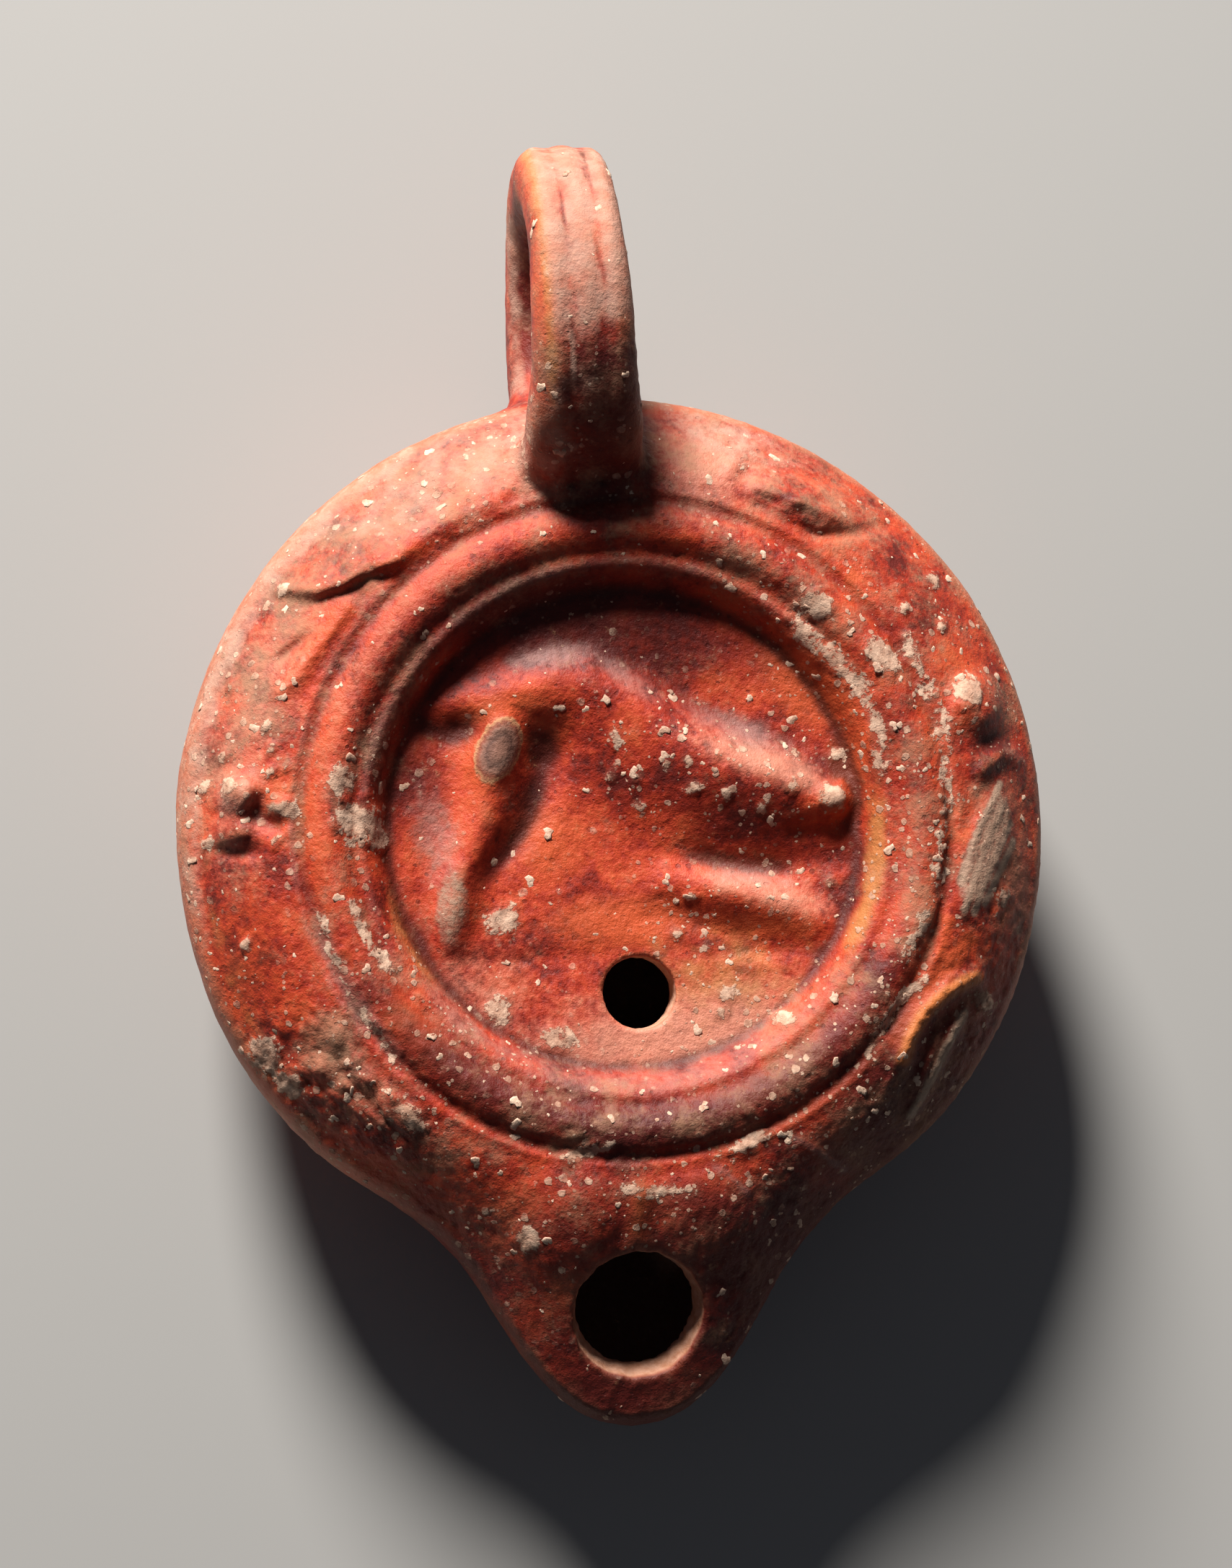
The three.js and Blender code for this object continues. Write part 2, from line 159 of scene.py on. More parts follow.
NOZZLE_SPREAD, NOZZLE_FULLNESS = math.radians(16), 2.27
WAIST, WAIST_AT, WAIST_SPREAD = 0.6, math.radians(33), math.radians(9)


def off_nozzle(angle):
    return np.abs(np.arctan2(np.cos(angle), -np.sin(angle)))


def nozzle_share(angle):
    return np.exp(-((off_nozzle(angle) / NOZZLE_SPREAD) ** NOZZLE_FULLNESS))


def outline(angle):
    waist = np.exp(-(((off_nozzle(angle) - WAIST_AT) / WAIST_SPREAD) ** 2))
    return mix(body_radius, nozzle_reach, nozzle_share(angle)) - WAIST * waist


print("reach along the nozzle", round(float(outline(-math.pi / 2)), 1), "mm, along the handle",
      round(float(outline(math.pi / 2)), 1), "mm")

# %% [markdown]
# ## The relief
#
# The mould's maker cut the beast and the vine into plaster with a few tools, and a few tools are
# enough here too. A `stroke` is a soft ridge or groove through some points, a `flank` is a fuller
# form with its own height and its own width on each side at every point, a `mound` is an oval
# swelling and a `pad` is a flat one. Each gives a height at any point of the lamp, so forms can simply
# be added, and masses that meet are melted together by adding their cubes and taking the cube root,
# as thumbed clay would.

# %% Tools for cutting relief
def stretches(points, x, y):
    for (ax, ay, *_), (bx, by, *_) in zip(points, points[1:]):
        length_squared = (bx - ax) ** 2 + (by - ay) ** 2
        along = np.clip(((x - ax) * (bx - ax) + (y - ay) * (by - ay)) / length_squared, 0, 1)
        yield along, np.hypot(x - mix(ax, bx, along), y - mix(ay, by, along))


def line_distance(points, x, y):
    return np.min([away for _, away in stretches(points, x, y)], axis=0)


def stroke(x, y, points, width, height):
    return height * np.exp(-((line_distance(points, x, y) / width) ** 2))


def dome(t):
    return fall(t, 0.25, 0.85)


def oval(x, y, centre, half_length, half_width, turn=0):
    c, s = math.cos(math.radians(turn)), math.sin(math.radians(turn))
    along = ((x - centre[0]) * c + (y - centre[1]) * s) / half_length
    across = ((y - centre[1]) * c - (x - centre[0]) * s) / half_width
    return np.hypot(along, across)


def mound(x, y, centre, half_length, half_width, turn, height):
    return height * dome(oval(x, y, centre, half_length, half_width, turn))


def pad(x, y, centre, half_length, half_width, turn, flat=0.8, fade=0.3):
    return fall(oval(x, y, centre, half_length, half_width, turn), flat, fade)


# %% Lines of the beast
BACK = [(-6.5, 13.6, 3.4, 6.6, 1.55), (-3, 13.6, 3.6, 8.5, 1.9), (0.6, 11.7, 3.8, 11, 2.2),
        (4.5, 8.8, 4.0, 10.5, 2.6), (8.5, 6.2, 4.2, 9.4, 3.0), (13.2, 4.4, 4, 8, 2.8),
        (17.5, 3.0, 3.2, 6, 2.1)]
NECK = [(-17.0, 11.0, 1.4, 1.2, 0.5), (-14, 12.1, 2.2, 2.8, 1.2), (-10, 13, 2.8, 4.6, 1.5),
        (-6.6, 13.6, 3.4, 6.6, 1.55)]
HIND_LEG = [(4.5, -4.6, 1.6, 3.0, 0.7), (8.7, -5.7, 2.2, 3.8, 1.6), (12, -6.5, 2.5, 3.8, 1.7),
            (14.8, -7.5, 2.5, 3.4, 1.5), (18.2, -9.2, 2.2, 2.6, 0.7)]
FORELEG = [(-11.4, 10, 4.0, 4.0, 1.7), (-11.8, 6, 4.4, 4.4, 1.75), (-12.9, 1.5, 3.9, 3.9, 1.7),
           (-15.0, -3.5, 3.0, 3.0, 1.5), (-16.3, -8, 2.5, 2.5, 1.1), (-16.3, -10.8, 2.2, 2.2, 0.5)]
TAIL_KNOB = (19.6, 2.2)
SHOULDER_BOSS, BOSS_TURN = (-11.6, 7.5), 62
FOOT_PAD_TURN = 84
BEHIND_FORELEG = [(-6.2, 10.6, 1.8, 2.2, 0), (-6.7, 9.0, 2.3, 2.8, -0.4), (-7.2, 7, 2.4, 3.0, -0.8),
                  (-7.8, 4.4, 2.4, 3.0, -0.9), (-8.8, 1.4, 2.2, 2.8, -0.8), (-10.6, -1.2, 2.0, 2.4, -0.7),
                  (-12.4, -3.2, 1.6, 1.8, -0.5), (-14.1, -5.2, 1.2, 1.4, -0.3)]
UNDER_MUZZLE = [(-18.2, 9.8), (-16.2, 9.6), (-14.3, 9.6)]
BELLY = [(6.0, -2.3, 1.2, 1.2, -0.3), (8.7, -3.2, 1.5, 1.5, -0.5), (12, -3.8, 1.6, 1.6, -0.6),
         (16, -3.8, 1.5, 1.5, -0.5), (20.7, -2.9, 1.2, 1.2, -0.3)]
UNDER_TAIL = [(16.2, -1.0), (18.4, -0.7), (20.2, -0.3), (22, 0.5)]
HOCK = [(2.4, -8.3), (5, -8.2), (7.6, -9.2), (10.6, -10.2)]
FOOT_LINE = [(-17, -11.7), (-7.5, -11.9), (-1, -11.3), (2.8, -11.2), (9, -11.7), (17.8, -11.9)]
print("the beast stands", BACK[0][1] - FOOT_LINE[1][1], "mm high at its shoulder")

# %% The beast on the discus
def flank(x, y, points):
    tallest, nearest = 0, np.full(np.shape(x), np.inf)
    for (ax, ay, *a), (bx, by, *b), (along, away) in zip(points, points[1:], stretches(points, x, y)):
        left_side = (bx - ax) * (y - ay) - (by - ay) * (x - ax) > 0
        width = np.where(left_side, mix(a[0], b[0], along), mix(a[1], b[1], along))
        height = mix(a[2], b[2], along) * fall(away / width, 0, 1.1)
        tallest = np.where(away < nearest, height, tallest)
        nearest = np.minimum(nearest, away)
    return tallest


def beast(x, y):
    masses = [flank(x, y, BACK), flank(x, y, NECK), flank(x, y, HIND_LEG), flank(x, y, FORELEG),
              mound(x, y, TAIL_KNOB, 2.5, 2.1, 0, 2.2)]
    merged = np.cbrt(np.sum([mass**3 for mass in masses], axis=0))
    cuts = (flank(x, y, BEHIND_FORELEG)
            + stroke(x, y, UNDER_MUZZLE, 1.3, -0.6)
            + flank(x, y, BELLY)
            + stroke(x, y, UNDER_TAIL, 0.8, -0.7)
            + stroke(x, y, HOCK, 1.2, -0.35)
            + stroke(x, y, FOOT_LINE, 0.4, -0.4))
    boss = 0.5 * pad(x, y, SHOULDER_BOSS, 3.4, 2.2, BOSS_TURN)
    foot = 0.35 * pad(x, y, (-16.3, -6.9), 4.2, 1.7, FOOT_PAD_TURN)
    return np.maximum(merged + cuts, -0.6) + boss + foot


# %% Lines of the vine
def ring(*places):
    return [(r * math.cos(math.radians(turn)), r * math.sin(math.radians(turn)), *rest)
            for turn, r, *rest in places]


LEFT_LEAF = ring((143.5, 38.4, 1, 0.7, 1.3), (141.5, 35.9, 3, 0.8, 1.3), (138, 34.4, 5, 0.8, 1.3),
                 (134.5, 33.8, 6, 0.8, 1.35), (131, 32.7, 6, 0.9, 1.2), (127, 31.9, 5, 1.0, 0.9),
                 (119, 32.1, 4, 1.0, 0.55), (110, 32.4, 3, 1.0, 0.3))
LEFT_STEM = ring((141, 32.9), (145.6, 32.9), (149.7, 33.1), (153.7, 33.5), (157, 34.2))
RIGHT_LEAF_EDGE = ring((46.5, 38.8), (49, 36.4), (51, 34.5), (55, 32.7), (60, 31.7), (67, 32))
RIGHT_LEAF_ARCH = ring((72, 34.5), (71, 37), (68, 39), (61, 39.9), (53, 39.6), (47.5, 38.9))
FEATHER, FEATHER_TURN = (33.7, -2.9), 66
FEATHER_RIBS = [[(35.5, 3.1), (32.2, -2.6), (31.0, -6.0)], [(35.7, 1.0), (32.6, -5.0), (31.3, -8.6)],
                [(36.5, -0.6), (33.6, -5.6), (32.3, -8.8)], [(36.9, -2.2), (34.6, -6.0), (33.4, -8.0)]]
LOW_LEAF_EDGE = ring((-24.6, 35.8), (-26.6, 34.5), (-30, 33.2), (-34, 32.5), (-38, 32.6), (-41.5, 33.4))
LOW_LEAF_HOLLOW = ring((-28, 36), (-31, 35), (-36, 34.3), (-41, 35), (-46, 36.4))
LOW_LEAF_RIB = ring((-30, 36.2), (-35.7, 36.3), (-40.5, 37), (-46.5, 38))
print("the left leaf reaches from", [round(v) for v in LEFT_LEAF[0][:2]], "to",
      [round(v) for v in LEFT_LEAF[-1][:2]], "mm")

# %% Strokes and mounds of the vine
STUCK_GRAINS = [(-32.6, 8.1), (-32.6, 6.0), (-31.2, 6.5), (-36.8, 7.5), (-38.6, 4.9), (-35.9, 14.0),
                (-33.0, 10.0), (-35.3, -9.6), (-32.5, -0.4), (-38.4, -0.3), (-32.3, 21.4),
                (-30.8, 22.9), (26.8, 19.7), (30.6, 18.1)]
LOW_LEFT_PITS = [(-28.9, -19.0, 1.6), (-27.0, -20.6, 1.8), (-31.6, -18.6, 1.0), (-29.6, -22.6, 1.1),
                 (-24.6, -23.8, 1.4), (-26.6, -26.0, 1.0), (-32.8, -21.4, 0.9), (-22.4, -27.6, 1.2)]
VINE_STROKES = [
    (LEFT_STEM, 0.9, 0.55),
    (ring((152.6, 35.4), (148.4, 34.4)), 0.5, -0.5),
    (ring((134, 33.6), (132.6, 35)), 0.45, -0.6),
    (ring((124, 34.3), (117, 34.9)), 0.6, -0.45),
    (ring((137, 35.6), (131, 37.6)), 0.6, -0.25),
    (ring((130, 34.2), (124, 37.2)), 0.7, -0.25),
    (RIGHT_LEAF_EDGE, 0.55, -0.5),
    (RIGHT_LEAF_ARCH, 0.7, 0.45),
    (ring((69.5, 34.5), (68, 36.3), (60, 37.4), (57, 38.4)), 0.5, -0.35),
    (ring((67, 34), (60, 34.4), (54, 35.2)), 0.55, 0.45),
    (ring((62, 32.8), (58.5, 36.2)), 0.5, 0.35),
    ([(38.2, 7.6), (36.0, 7.3), (34.0, 7.0)], 0.6, -0.35),
    ([(38.8, 5.4), (36.0, 6.2), (33.8, 4.6)], 0.8, 0.7),
    *[(rib, 0.5, 0.17) for rib in FEATHER_RIBS],
    (LOW_LEAF_EDGE, 0.95, 0.9),
    (LOW_LEAF_HOLLOW, 1.0, -0.2),
    (LOW_LEAF_RIB, 0.6, 0.65),
    (ring((-34, 35.0), (-39, 35.6), (-43, 36.4)), 0.35, 0.3),
    (ring((-32, 38.6), (-38, 39.2), (-43, 39.6)), 0.6, 0.4),
    (ring((-26, 39.4), (-28.5, 37.2)), 0.7, 0.6),
    ([(-37.4, -1.1), (-36.2, -1.4), (-34.2, -1.3)], 0.5, -0.7),
    ([(-34.4, 3.0), (-33.6, 1.8), (-32.6, 1.2)], 0.8, -0.8),
]
VINE_MOUNDS = [
    (ring((59, 35.6))[0], 7.0, 3.7, -32, 0.8),
    ((33.8, 10.8), 3.9, 3.4, 20, 1.15),
    ((-35.9, 3.9), 2.5, 2.5, 0, 1.7),
    ((-36.4, 0.6), 2.2, 1.5, 0, 1.0),
    ((-31.6, 2.4), 1.6, 1.4, 0, 0.7),
    *[(grain, 0.75, 0.5, 60, 0.2) for grain in STUCK_GRAINS],
    *[(pit, 1.2 * size, size, 20, -0.3) for *pit, size in LOW_LEFT_PITS],
]
print(len(VINE_STROKES), "strokes and", len(VINE_MOUNDS), "mounds")


# %% The vine on the shoulder
def vine(x, y):
    forms = [stroke(x, y, *line) for line in VINE_STROKES] + [mound(x, y, *form) for form in VINE_MOUNDS]
    feather = 0.35 * pad(x, y, FEATHER, 6.6, 2.3, FEATHER_TURN, 0.7, 0.5)
    return np.sum(forms, axis=0) + flank(x, y, LEFT_LEAF) + feather + grapes(x, y)


# %% A bunch of grapes
GRAPE_ROWS, GRAPE_COLUMNS = 3, 5
GRAPE_RADIUS, GRAPE_ROW_STEP, GRAPE_SIZE = 33.4, 2.1, 1.35
GRAPE_ANGLE, GRAPE_STEP = 214, 3.9


def grapes(x, y):
    height = 0
    for row in range(GRAPE_ROWS):
        for column in range(GRAPE_COLUMNS):
            jitter = math.sin(7.1 * row + 12.9 * column)
            turn = GRAPE_ANGLE + (column + 0.5 * (row % 2) + 0.25 * jitter) * GRAPE_STEP
            centre = ring((turn, GRAPE_RADIUS + (row + 0.2 * jitter) * GRAPE_ROW_STEP))[0]
            size = GRAPE_SIZE * (1 + 0.2 * jitter)
            height = height + mound(x, y, centre, size, size, 0, 0.42 + 0.12 * jitter)
    return height


# %% The heart at the root of the nozzle
HEART_SPUR = [(0, -32.6), (-0.4, -36), (-0.7, -39)]
HEART_RIMS = [ring((-58.5, 38), (-61, 35), (-63.5, 32.6)), ring((-73.5, 35.6), (-75.5, 33.6), (-78, 32)),
              ring((-104, 32.4), (-108, 34.8), (-110, 38))]


def heart(x, y):
    lobes = mound(x, y, (-6.4, -36), 7.4, 5.4, 40, 0.9) + mound(x, y, (6.2, -36), 7.2, 5.4, -40, 0.9)
    rims = [stroke(x, y, rim, 0.4, 0.25) for rim in HEART_RIMS]
    return lobes + stroke(x, y, HEART_SPUR, 1.1, 0.5) + np.sum(rims, axis=0)


sample = np.zeros(1)
print("relief at the middle of the trunk", round(float(beast(sample, sample + 6)[0]), 2), "mm")

# %% [markdown]
# ## The outer skin
#
# The upper half was one mould and the lower half another. Both are built as loops of points, one
# inside the other, from the foot out to the seam and back in over the shoulder to the middle of the
# discus. Loops of different counts are stitched to each other, so the triangles stay the same size
# everywhere and none are wasted near the middle.

# %% Heights of the mould's upper half
RIM_Z, EDGE_Z, NOZZLE_EDGE_Z = 24.3, 19.2, 17.2
SEAM_Z, NOZZLE_SEAM_Z = SEAM_HEIGHT, 13.4
EDGE_INSET = 1.5
DISCUS_Z, DISCUS_DISH, FLOOR_RADIUS, WALL_RADIUS = 20.5, 1.0, 21.9, 24.2
MOULDING_Z = 23.9
INNER_RIDGE, BAND, OUTER_GROOVE, LIP, RIM_RADIUS = 24.7, 27.8, 30.2, 31.1, 31.8
FOOT_RADIUS = 19.5


def polar(angle, r):
    return r * np.cos(angle), r * np.sin(angle)


def columns(*parts):
    return np.stack(np.broadcast_arrays(*parts), axis=1)


def discus_height(x, y):
    r = np.hypot(x, y)
    floor = DISCUS_Z + DISCUS_DISH * (r / FLOOR_RADIUS) ** 2
    wall = rise(r, FLOOR_RADIUS, WALL_RADIUS - FLOOR_RADIUS)
    level = mix(MOULDING_Z, RIM_Z, rise(r, BAND, RIM_RADIUS - BAND))
    relief = beast(x, y) * fall(r, 20.6, 2.4)
    return (mix(floor + relief, level, wall)
            + 0.6 * bump(r, INNER_RIDGE, 0.8)
            + 1.55 * roll(r, BAND, 2.7)
            - 0.2 * bump(r, OUTER_GROOVE, 0.8)
            + 0.3 * bump(r, LIP, 1.0))


def shoulder_radius(angle, t):
    return mix(RIM_RADIUS, outline(angle) - EDGE_INSET, t)


def shoulder_height(angle, t):
    share = nozzle_share(angle)
    return mix(RIM_Z, mix(EDGE_Z, NOZZLE_EDGE_Z, share), t ** mix(1.7, 1.25, share))


def shoulder_point(angle, t):
    x, y = polar(angle, shoulder_radius(angle, t))
    relief = (vine(x, y) + heart(x, y)) * (1 - t**6)
    return columns(x, y, shoulder_height(angle, t) + relief)


def underside_point(angle, t, inset=0.0):
    share = nozzle_share(angle)
    out = math.sin(t * math.pi / 2)
    lift = mix(1 - math.cos(t * math.pi / 2), t**1.6, share * 0.35)
    r = mix(FOOT_RADIUS - inset, outline(angle) - inset, out)
    return columns(*polar(angle, r), mix(inset, mix(SEAM_Z, NOZZLE_SEAM_Z, share), lift))


# %% Directions that crowd where the outline is long
def directions(count, crowd=0.0):
    even = np.arange(count) / count
    if crowd == 0:
        return even * 2 * math.pi
    fine = np.linspace(0, 2 * math.pi, 2001)
    edge = columns(*polar(fine, outline(fine)))
    length = np.concatenate([[0], np.cumsum(np.linalg.norm(np.diff(edge, axis=0), axis=1))])
    by_length = np.interp(even, length / length[-1], fine)
    return mix(even * 2 * math.pi, by_length, crowd)


def middle_point(z):
    return np.array([[0.0, 0.0, z]])


def flat_loop(count, r, z):
    return columns(*polar(directions(count), r), float(z))


def spaced_loop(spacing, r, z):
    return flat_loop(round(2 * math.pi * r / spacing), r, z)


def discus_loop(spacing, r):
    x, y = polar(directions(max(8, round(2 * math.pi * r / spacing))), r)
    return columns(x, y, discus_height(x, y))


def stitch(loops):
    starts = np.cumsum([0] + [len(points) for points in loops])
    faces = []
    for k in range(len(loops) - 1):
        low_count, high_count = len(loops[k]), len(loops[k + 1])
        i = j = 0
        while i < low_count or j < high_count:
            a, b = starts[k] + i % low_count, starts[k + 1] + j % high_count
            if j >= high_count or (i < low_count and (i + 1) * high_count <= (j + 1) * low_count):
                i += 1
                if low_count > 1:
                    faces.append((a, starts[k] + i % low_count, b))
            else:
                j += 1
                if high_count > 1:
                    faces.append((a, starts[k + 1] + j % high_count, b))
    return np.concatenate(loops), faces


def closed(loops):
    return stitch([loops[0].mean(axis=0)[None], *loops, loops[-1].mean(axis=0)[None]])


def mesh_object(name, points, faces):
    mesh = bpy.data.meshes.new(name)
    mesh.from_pydata((points * MM).tolist(), [], faces)
    thing = bpy.data.objects.new(name, mesh)
    bpy.context.scene.collection.objects.link(thing)
    return thing


# %% The skin itself
TOP_STEP, MOULDING_STEP, UNDER_STEP = 0.36, 0.26, 0.9
UNDERSIDE_LOOPS, SHOULDER_LOOPS = 34, 40
FOOT_GROOVE = [(15.3, 0), (15.9, 0.6), (17.1, 0.6), (17.7, 0), (FOOT_RADIUS, 0)]


def foot_loops():
    flat = [spaced_loop(UNDER_STEP, r, 0) for r in np.arange(1, 15, 1.6)]
    return [middle_point(0), *flat, *[flat_loop(120, r, z) for r, z in FOOT_GROOVE]]


def underside_loops():
    return [underside_point(directions(round(mix(130, 330, t)), t), t)
            for t in np.arange(1, UNDERSIDE_LOOPS + 1) / UNDERSIDE_LOOPS]


def bevel_loop(share):
    a = directions(round(mix(420, 760, share)), 1)
    out = math.sin(share * math.pi / 2)
    inwards = 1 - math.cos(share * math.pi / 2)
    return mix(underside_point(a, 1), shoulder_point(a, 1.0), np.array([inwards, inwards, out]))


def shoulder_loops():
    rows = [(i / SHOULDER_LOOPS) ** 0.9 for i in range(SHOULDER_LOOPS, 0, -1)]
    return [shoulder_point(directions(round(mix(580, 780, t)), t), t) for t in rows]


def discus_loops():
    moulding = np.arange(RIM_RADIUS - 0.25, FLOOR_RADIUS, -MOULDING_STEP)
    floor = np.arange(FLOOR_RADIUS, 0.4, -TOP_STEP)
    return [discus_loop(TOP_STEP, r) for r in np.concatenate([moulding, floor])]


bevel_loops = [bevel_loop(share) for share in (0.15, 0.3, 0.45, 0.6, 0.75, 0.9)]
crown = middle_point(float(discus_height(np.zeros(1), np.zeros(1))[0]))
skin_points, skin_faces = stitch(
    foot_loops() + underside_loops() + bevel_loops + shoulder_loops() + discus_loops() + [crown])
skin = mesh_object("lamp_clay", skin_points, skin_faces)
print("outer skin:", len(skin_faces), "triangles")

# %% [markdown]
# ## Wear the mould down
#
# The relief is not as crisp as the tools left it. The mould was used many times, the slip filled the
# corners and hands wore the high places, so the points of the relief are moved towards the middle of
# their neighbours for a few rounds. The plain mouldings keep more of their edge.

# %% Read and write the points of a mesh
def read(layer, name, size, kind=float):
    flat = np.empty(len(layer) * size, dtype=kind)
    layer.foreach_get(name, flat)
    return flat.reshape(-1, size)


def read_points(thing):
    return read(thing.data.vertices, "co", 3) / MM


def read_normals(thing):
    return read(thing.data.vertex_normals, "vector", 3)


def read_edges(thing):
    return read(thing.data.edges, "vertices", 2, np.int32)


def write_points(thing, points):
    thing.data.vertices.foreach_set("co", (points * MM).ravel())
    thing.data.update()


# %% Smoothing
def relax(values, edges, rounds, weight):
    a, b = edges.T
    size = len(values)
    count = np.maximum(np.bincount(edges.ravel(), minlength=size), 1)
    for _ in range(rounds):
        around = [np.bincount(a, column[b], size) + np.bincount(b, column[a], size) for column in values.T]
        values = mix(values, np.stack(around, axis=1) / count[:, None], weight)
    return values


# %% Soften the relief
DISCUS_ROUNDS, SHOULDER_ROUNDS = 8, 3

edges = read_edges(skin)
points = read_points(skin)
r = np.hypot(points[:, 0], points[:, 1])
on_top = rise(points[:, 2], 17, 1.5)
on_discus = on_top * fall(r, 20.5, 2.5)
on_shoulder = on_top * rise(r, 31.5, 1.5)
points = relax(points, edges, DISCUS_ROUNDS, 0.7 * on_discus[:, None])
points = relax(points, edges, SHOULDER_ROUNDS, 0.6 * on_shoulder[:, None])
write_points(skin, points)
print("relief softened over", int((on_discus > 0).sum() + (on_shoulder > 0).sum()), "points")

# %% [markdown]
# ## The ring handle
#
# The handle is a strap of clay with two grooves pressed along it, bent into a ring and luted to the
# body. It is swept here as sections round an oval. Both ends run into the wall of the body.

# %% Sweep the strap
HANDLE_Y, HANDLE_Z = 48.4, 21
FRONT_LENGTH, REAR_LENGTH, HALF_HEIGHT = 14.1, 12.1, 11.2
STRAP_STEPS, STRAP_CORNERS = 170, 72
START_ANGLE, END_ANGLE = math.radians(-152), math.radians(205)
HANDLE_TURN, HANDLE_LEAN, HANDLE_SHIFT = math.radians(2.3), math.radians(-1.5), -1.7


def strap_section(width, thickness):
    corner = directions(STRAP_CORNERS)
    across = width / 2 * np.sign(np.cos(corner)) * np.abs(np.cos(corner)) ** 0.85
    out = thickness / 2 * np.sign(np.sin(corner)) * np.abs(np.sin(corner)) ** 0.62
    outer = rise(np.sin(corner), 0.15, 0.3)
    return across, out - outer * (0.7 * bump(np.abs(across - 0.2), 1.45, 0.75) + 0.22 * bump(across, 0, 2))


def strap_loop(u):
    rear = smooth_step(0.5 + 0.7 * math.cos(u))
    y = HANDLE_Y + (REAR_LENGTH if math.cos(u) > 0 else FRONT_LENGTH) * math.cos(u)
    z = HANDLE_Z + HALF_HEIGHT * math.sin(u)
    at_body = smooth_step((body_radius + 3 - y) / 8)
    width = mix(9.6, 8.4, rear) + 1.3 * at_body**2
    across, out = strap_section(width, mix(6.6, 7.4, rear))
    height = z + out * math.sin(u)
    x = across + HANDLE_SHIFT + (height - HANDLE_Z) * math.tan(HANDLE_LEAN)
    y = y + out * math.cos(u)
    c, s = math.cos(HANDLE_TURN), math.sin(HANDLE_TURN)
    return columns(x * c - y * s, x * s + y * c, height)


strap = [strap_loop(mix(START_ANGLE, END_ANGLE, i / STRAP_STEPS)) for i in range(STRAP_STEPS + 1)]
handle = mesh_object("handle", *closed(strap))
print("handle:", len(handle.data.polygons), "triangles")

# %% [markdown]
# ## Hollow it out
#
# The lamp is a vessel. The chamber follows the outer skin one wall inside it, and the filling hole
# and the wick hole are cut through into it, as a potter does with a tube and a knife before firing.

# %% The oil chamber
WALL, NOZZLE_WALL = 3.3, 2.7
CHAMBER_STEP = 1.5


def wall_at(angle):
    return mix(WALL, NOZZLE_WALL, nozzle_share(angle))


def chamber_loops():
    a = directions(160, 1)
    floor = [spaced_loop(CHAMBER_STEP, r, WALL) for r in (1.5, 4, 7, 10, 13)]
    sides = [underside_point(a, t, wall_at(a)) for t in np.linspace(0, 1, 14)]
    roof = []
    for t in np.linspace(0.9, 0, 8):
        r = shoulder_radius(a, t)
        inwards = 1 - wall_at(a) * t * 0.9 / r
        roof.append(columns(*polar(a, r * inwards), shoulder_height(a, t) - wall_at(a)))
    roof_z = DISCUS_Z - WALL
    ceiling = [flat_loop(110, BAND - 2.2, MOULDING_Z - WALL), flat_loop(96, FLOOR_RADIUS - 1.3, roof_z)]
    ceiling += [spaced_loop(CHAMBER_STEP, r, roof_z) for r in (18, 14, 10, 6, 3)]
    return [middle_point(WALL), *floor, *sides, *roof, *ceiling, middle_point(roof_z)]


chamber = mesh_object("chamber", *stitch(chamber_loops()))
print("chamber", WALL, "mm inside the skin,", NOZZLE_WALL, "mm in the nozzle")

# %% The filling hole and the wick hole
FILL_HOLE, FILL_RADIUS = (1.0, -15.2), 3.4
WICK_Y, WICK_Z, WICK_TOP, WICK_LOW, WICK_TILT = -45.1, 20.8, 6.4, 5.4, math.radians(15)


def drill(name, radii, levels, count, place, tilt=0.0):
    a = directions(count)
    ragged_edge = 1 + 0.005 * np.sin(5 * a + 1) + 0.007 * np.sin(13 * a + 4) + 0.008 * np.sin(19 * a + 2)
    c, s = math.cos(tilt), math.sin(tilt)
    loops = []
    for radius, level in zip(radii, levels):
        x, y = polar(a, radius * ragged_edge)
        loops.append(columns(x, y * c - level * s, y * s + level * c) + np.array(place))
    return mesh_object(name, *closed(loops))


fill_levels = np.arange(-6, 6.1, 0.5)
fill_drill = drill("fill_drill", np.full(len(fill_levels), FILL_RADIUS), fill_levels, 72,
                   (*FILL_HOLE, DISCUS_Z))
wick_levels = np.arange(-8, 4.1, 0.5)
wick_drill = drill("wick_drill", mix(WICK_TOP, WICK_LOW, -wick_levels / 4), wick_levels, 120,
                   (0, WICK_Y, WICK_Z), WICK_TILT)

# %% [markdown]
# ## Lute the handle on
#
# A boolean join leaves a hard crease where two skins meet, and wet clay never has one: a potter wipes
# a little slip into the corner. So before the two are joined, each skin swells towards the other
# where they come close, which makes a fillet, and afterwards the crease itself is smoothed.

# %% Swell the two skins towards each other
FILLET_REACH = 3.0


def surface_tree(thing):
    faces = [tuple(face.vertices) for face in thing.data.polygons]
    return BVHTree.FromPolygons(read_points(thing).tolist(), faces)


def swell_towards(thing, tree, other_points):
    points, normals = read_points(thing), read_normals(thing)
    low_corner = other_points.min(axis=0) - FILLET_REACH
    high_corner = other_points.max(axis=0) + FILLET_REACH
    near = np.all((points > low_corner) & (points < high_corner), axis=1)
    for i in np.flatnonzero(near):
        place, normal, _, away = tree.find_nearest(points[i], FILLET_REACH)
        if place is None:
            continue
        outside = (Vector(points[i]) - place).dot(normal) > 0
        closeness = FILLET_REACH - (away if outside else 0)
        points[i] += normals[i] * closeness**2 / (4 * FILLET_REACH)
    return points


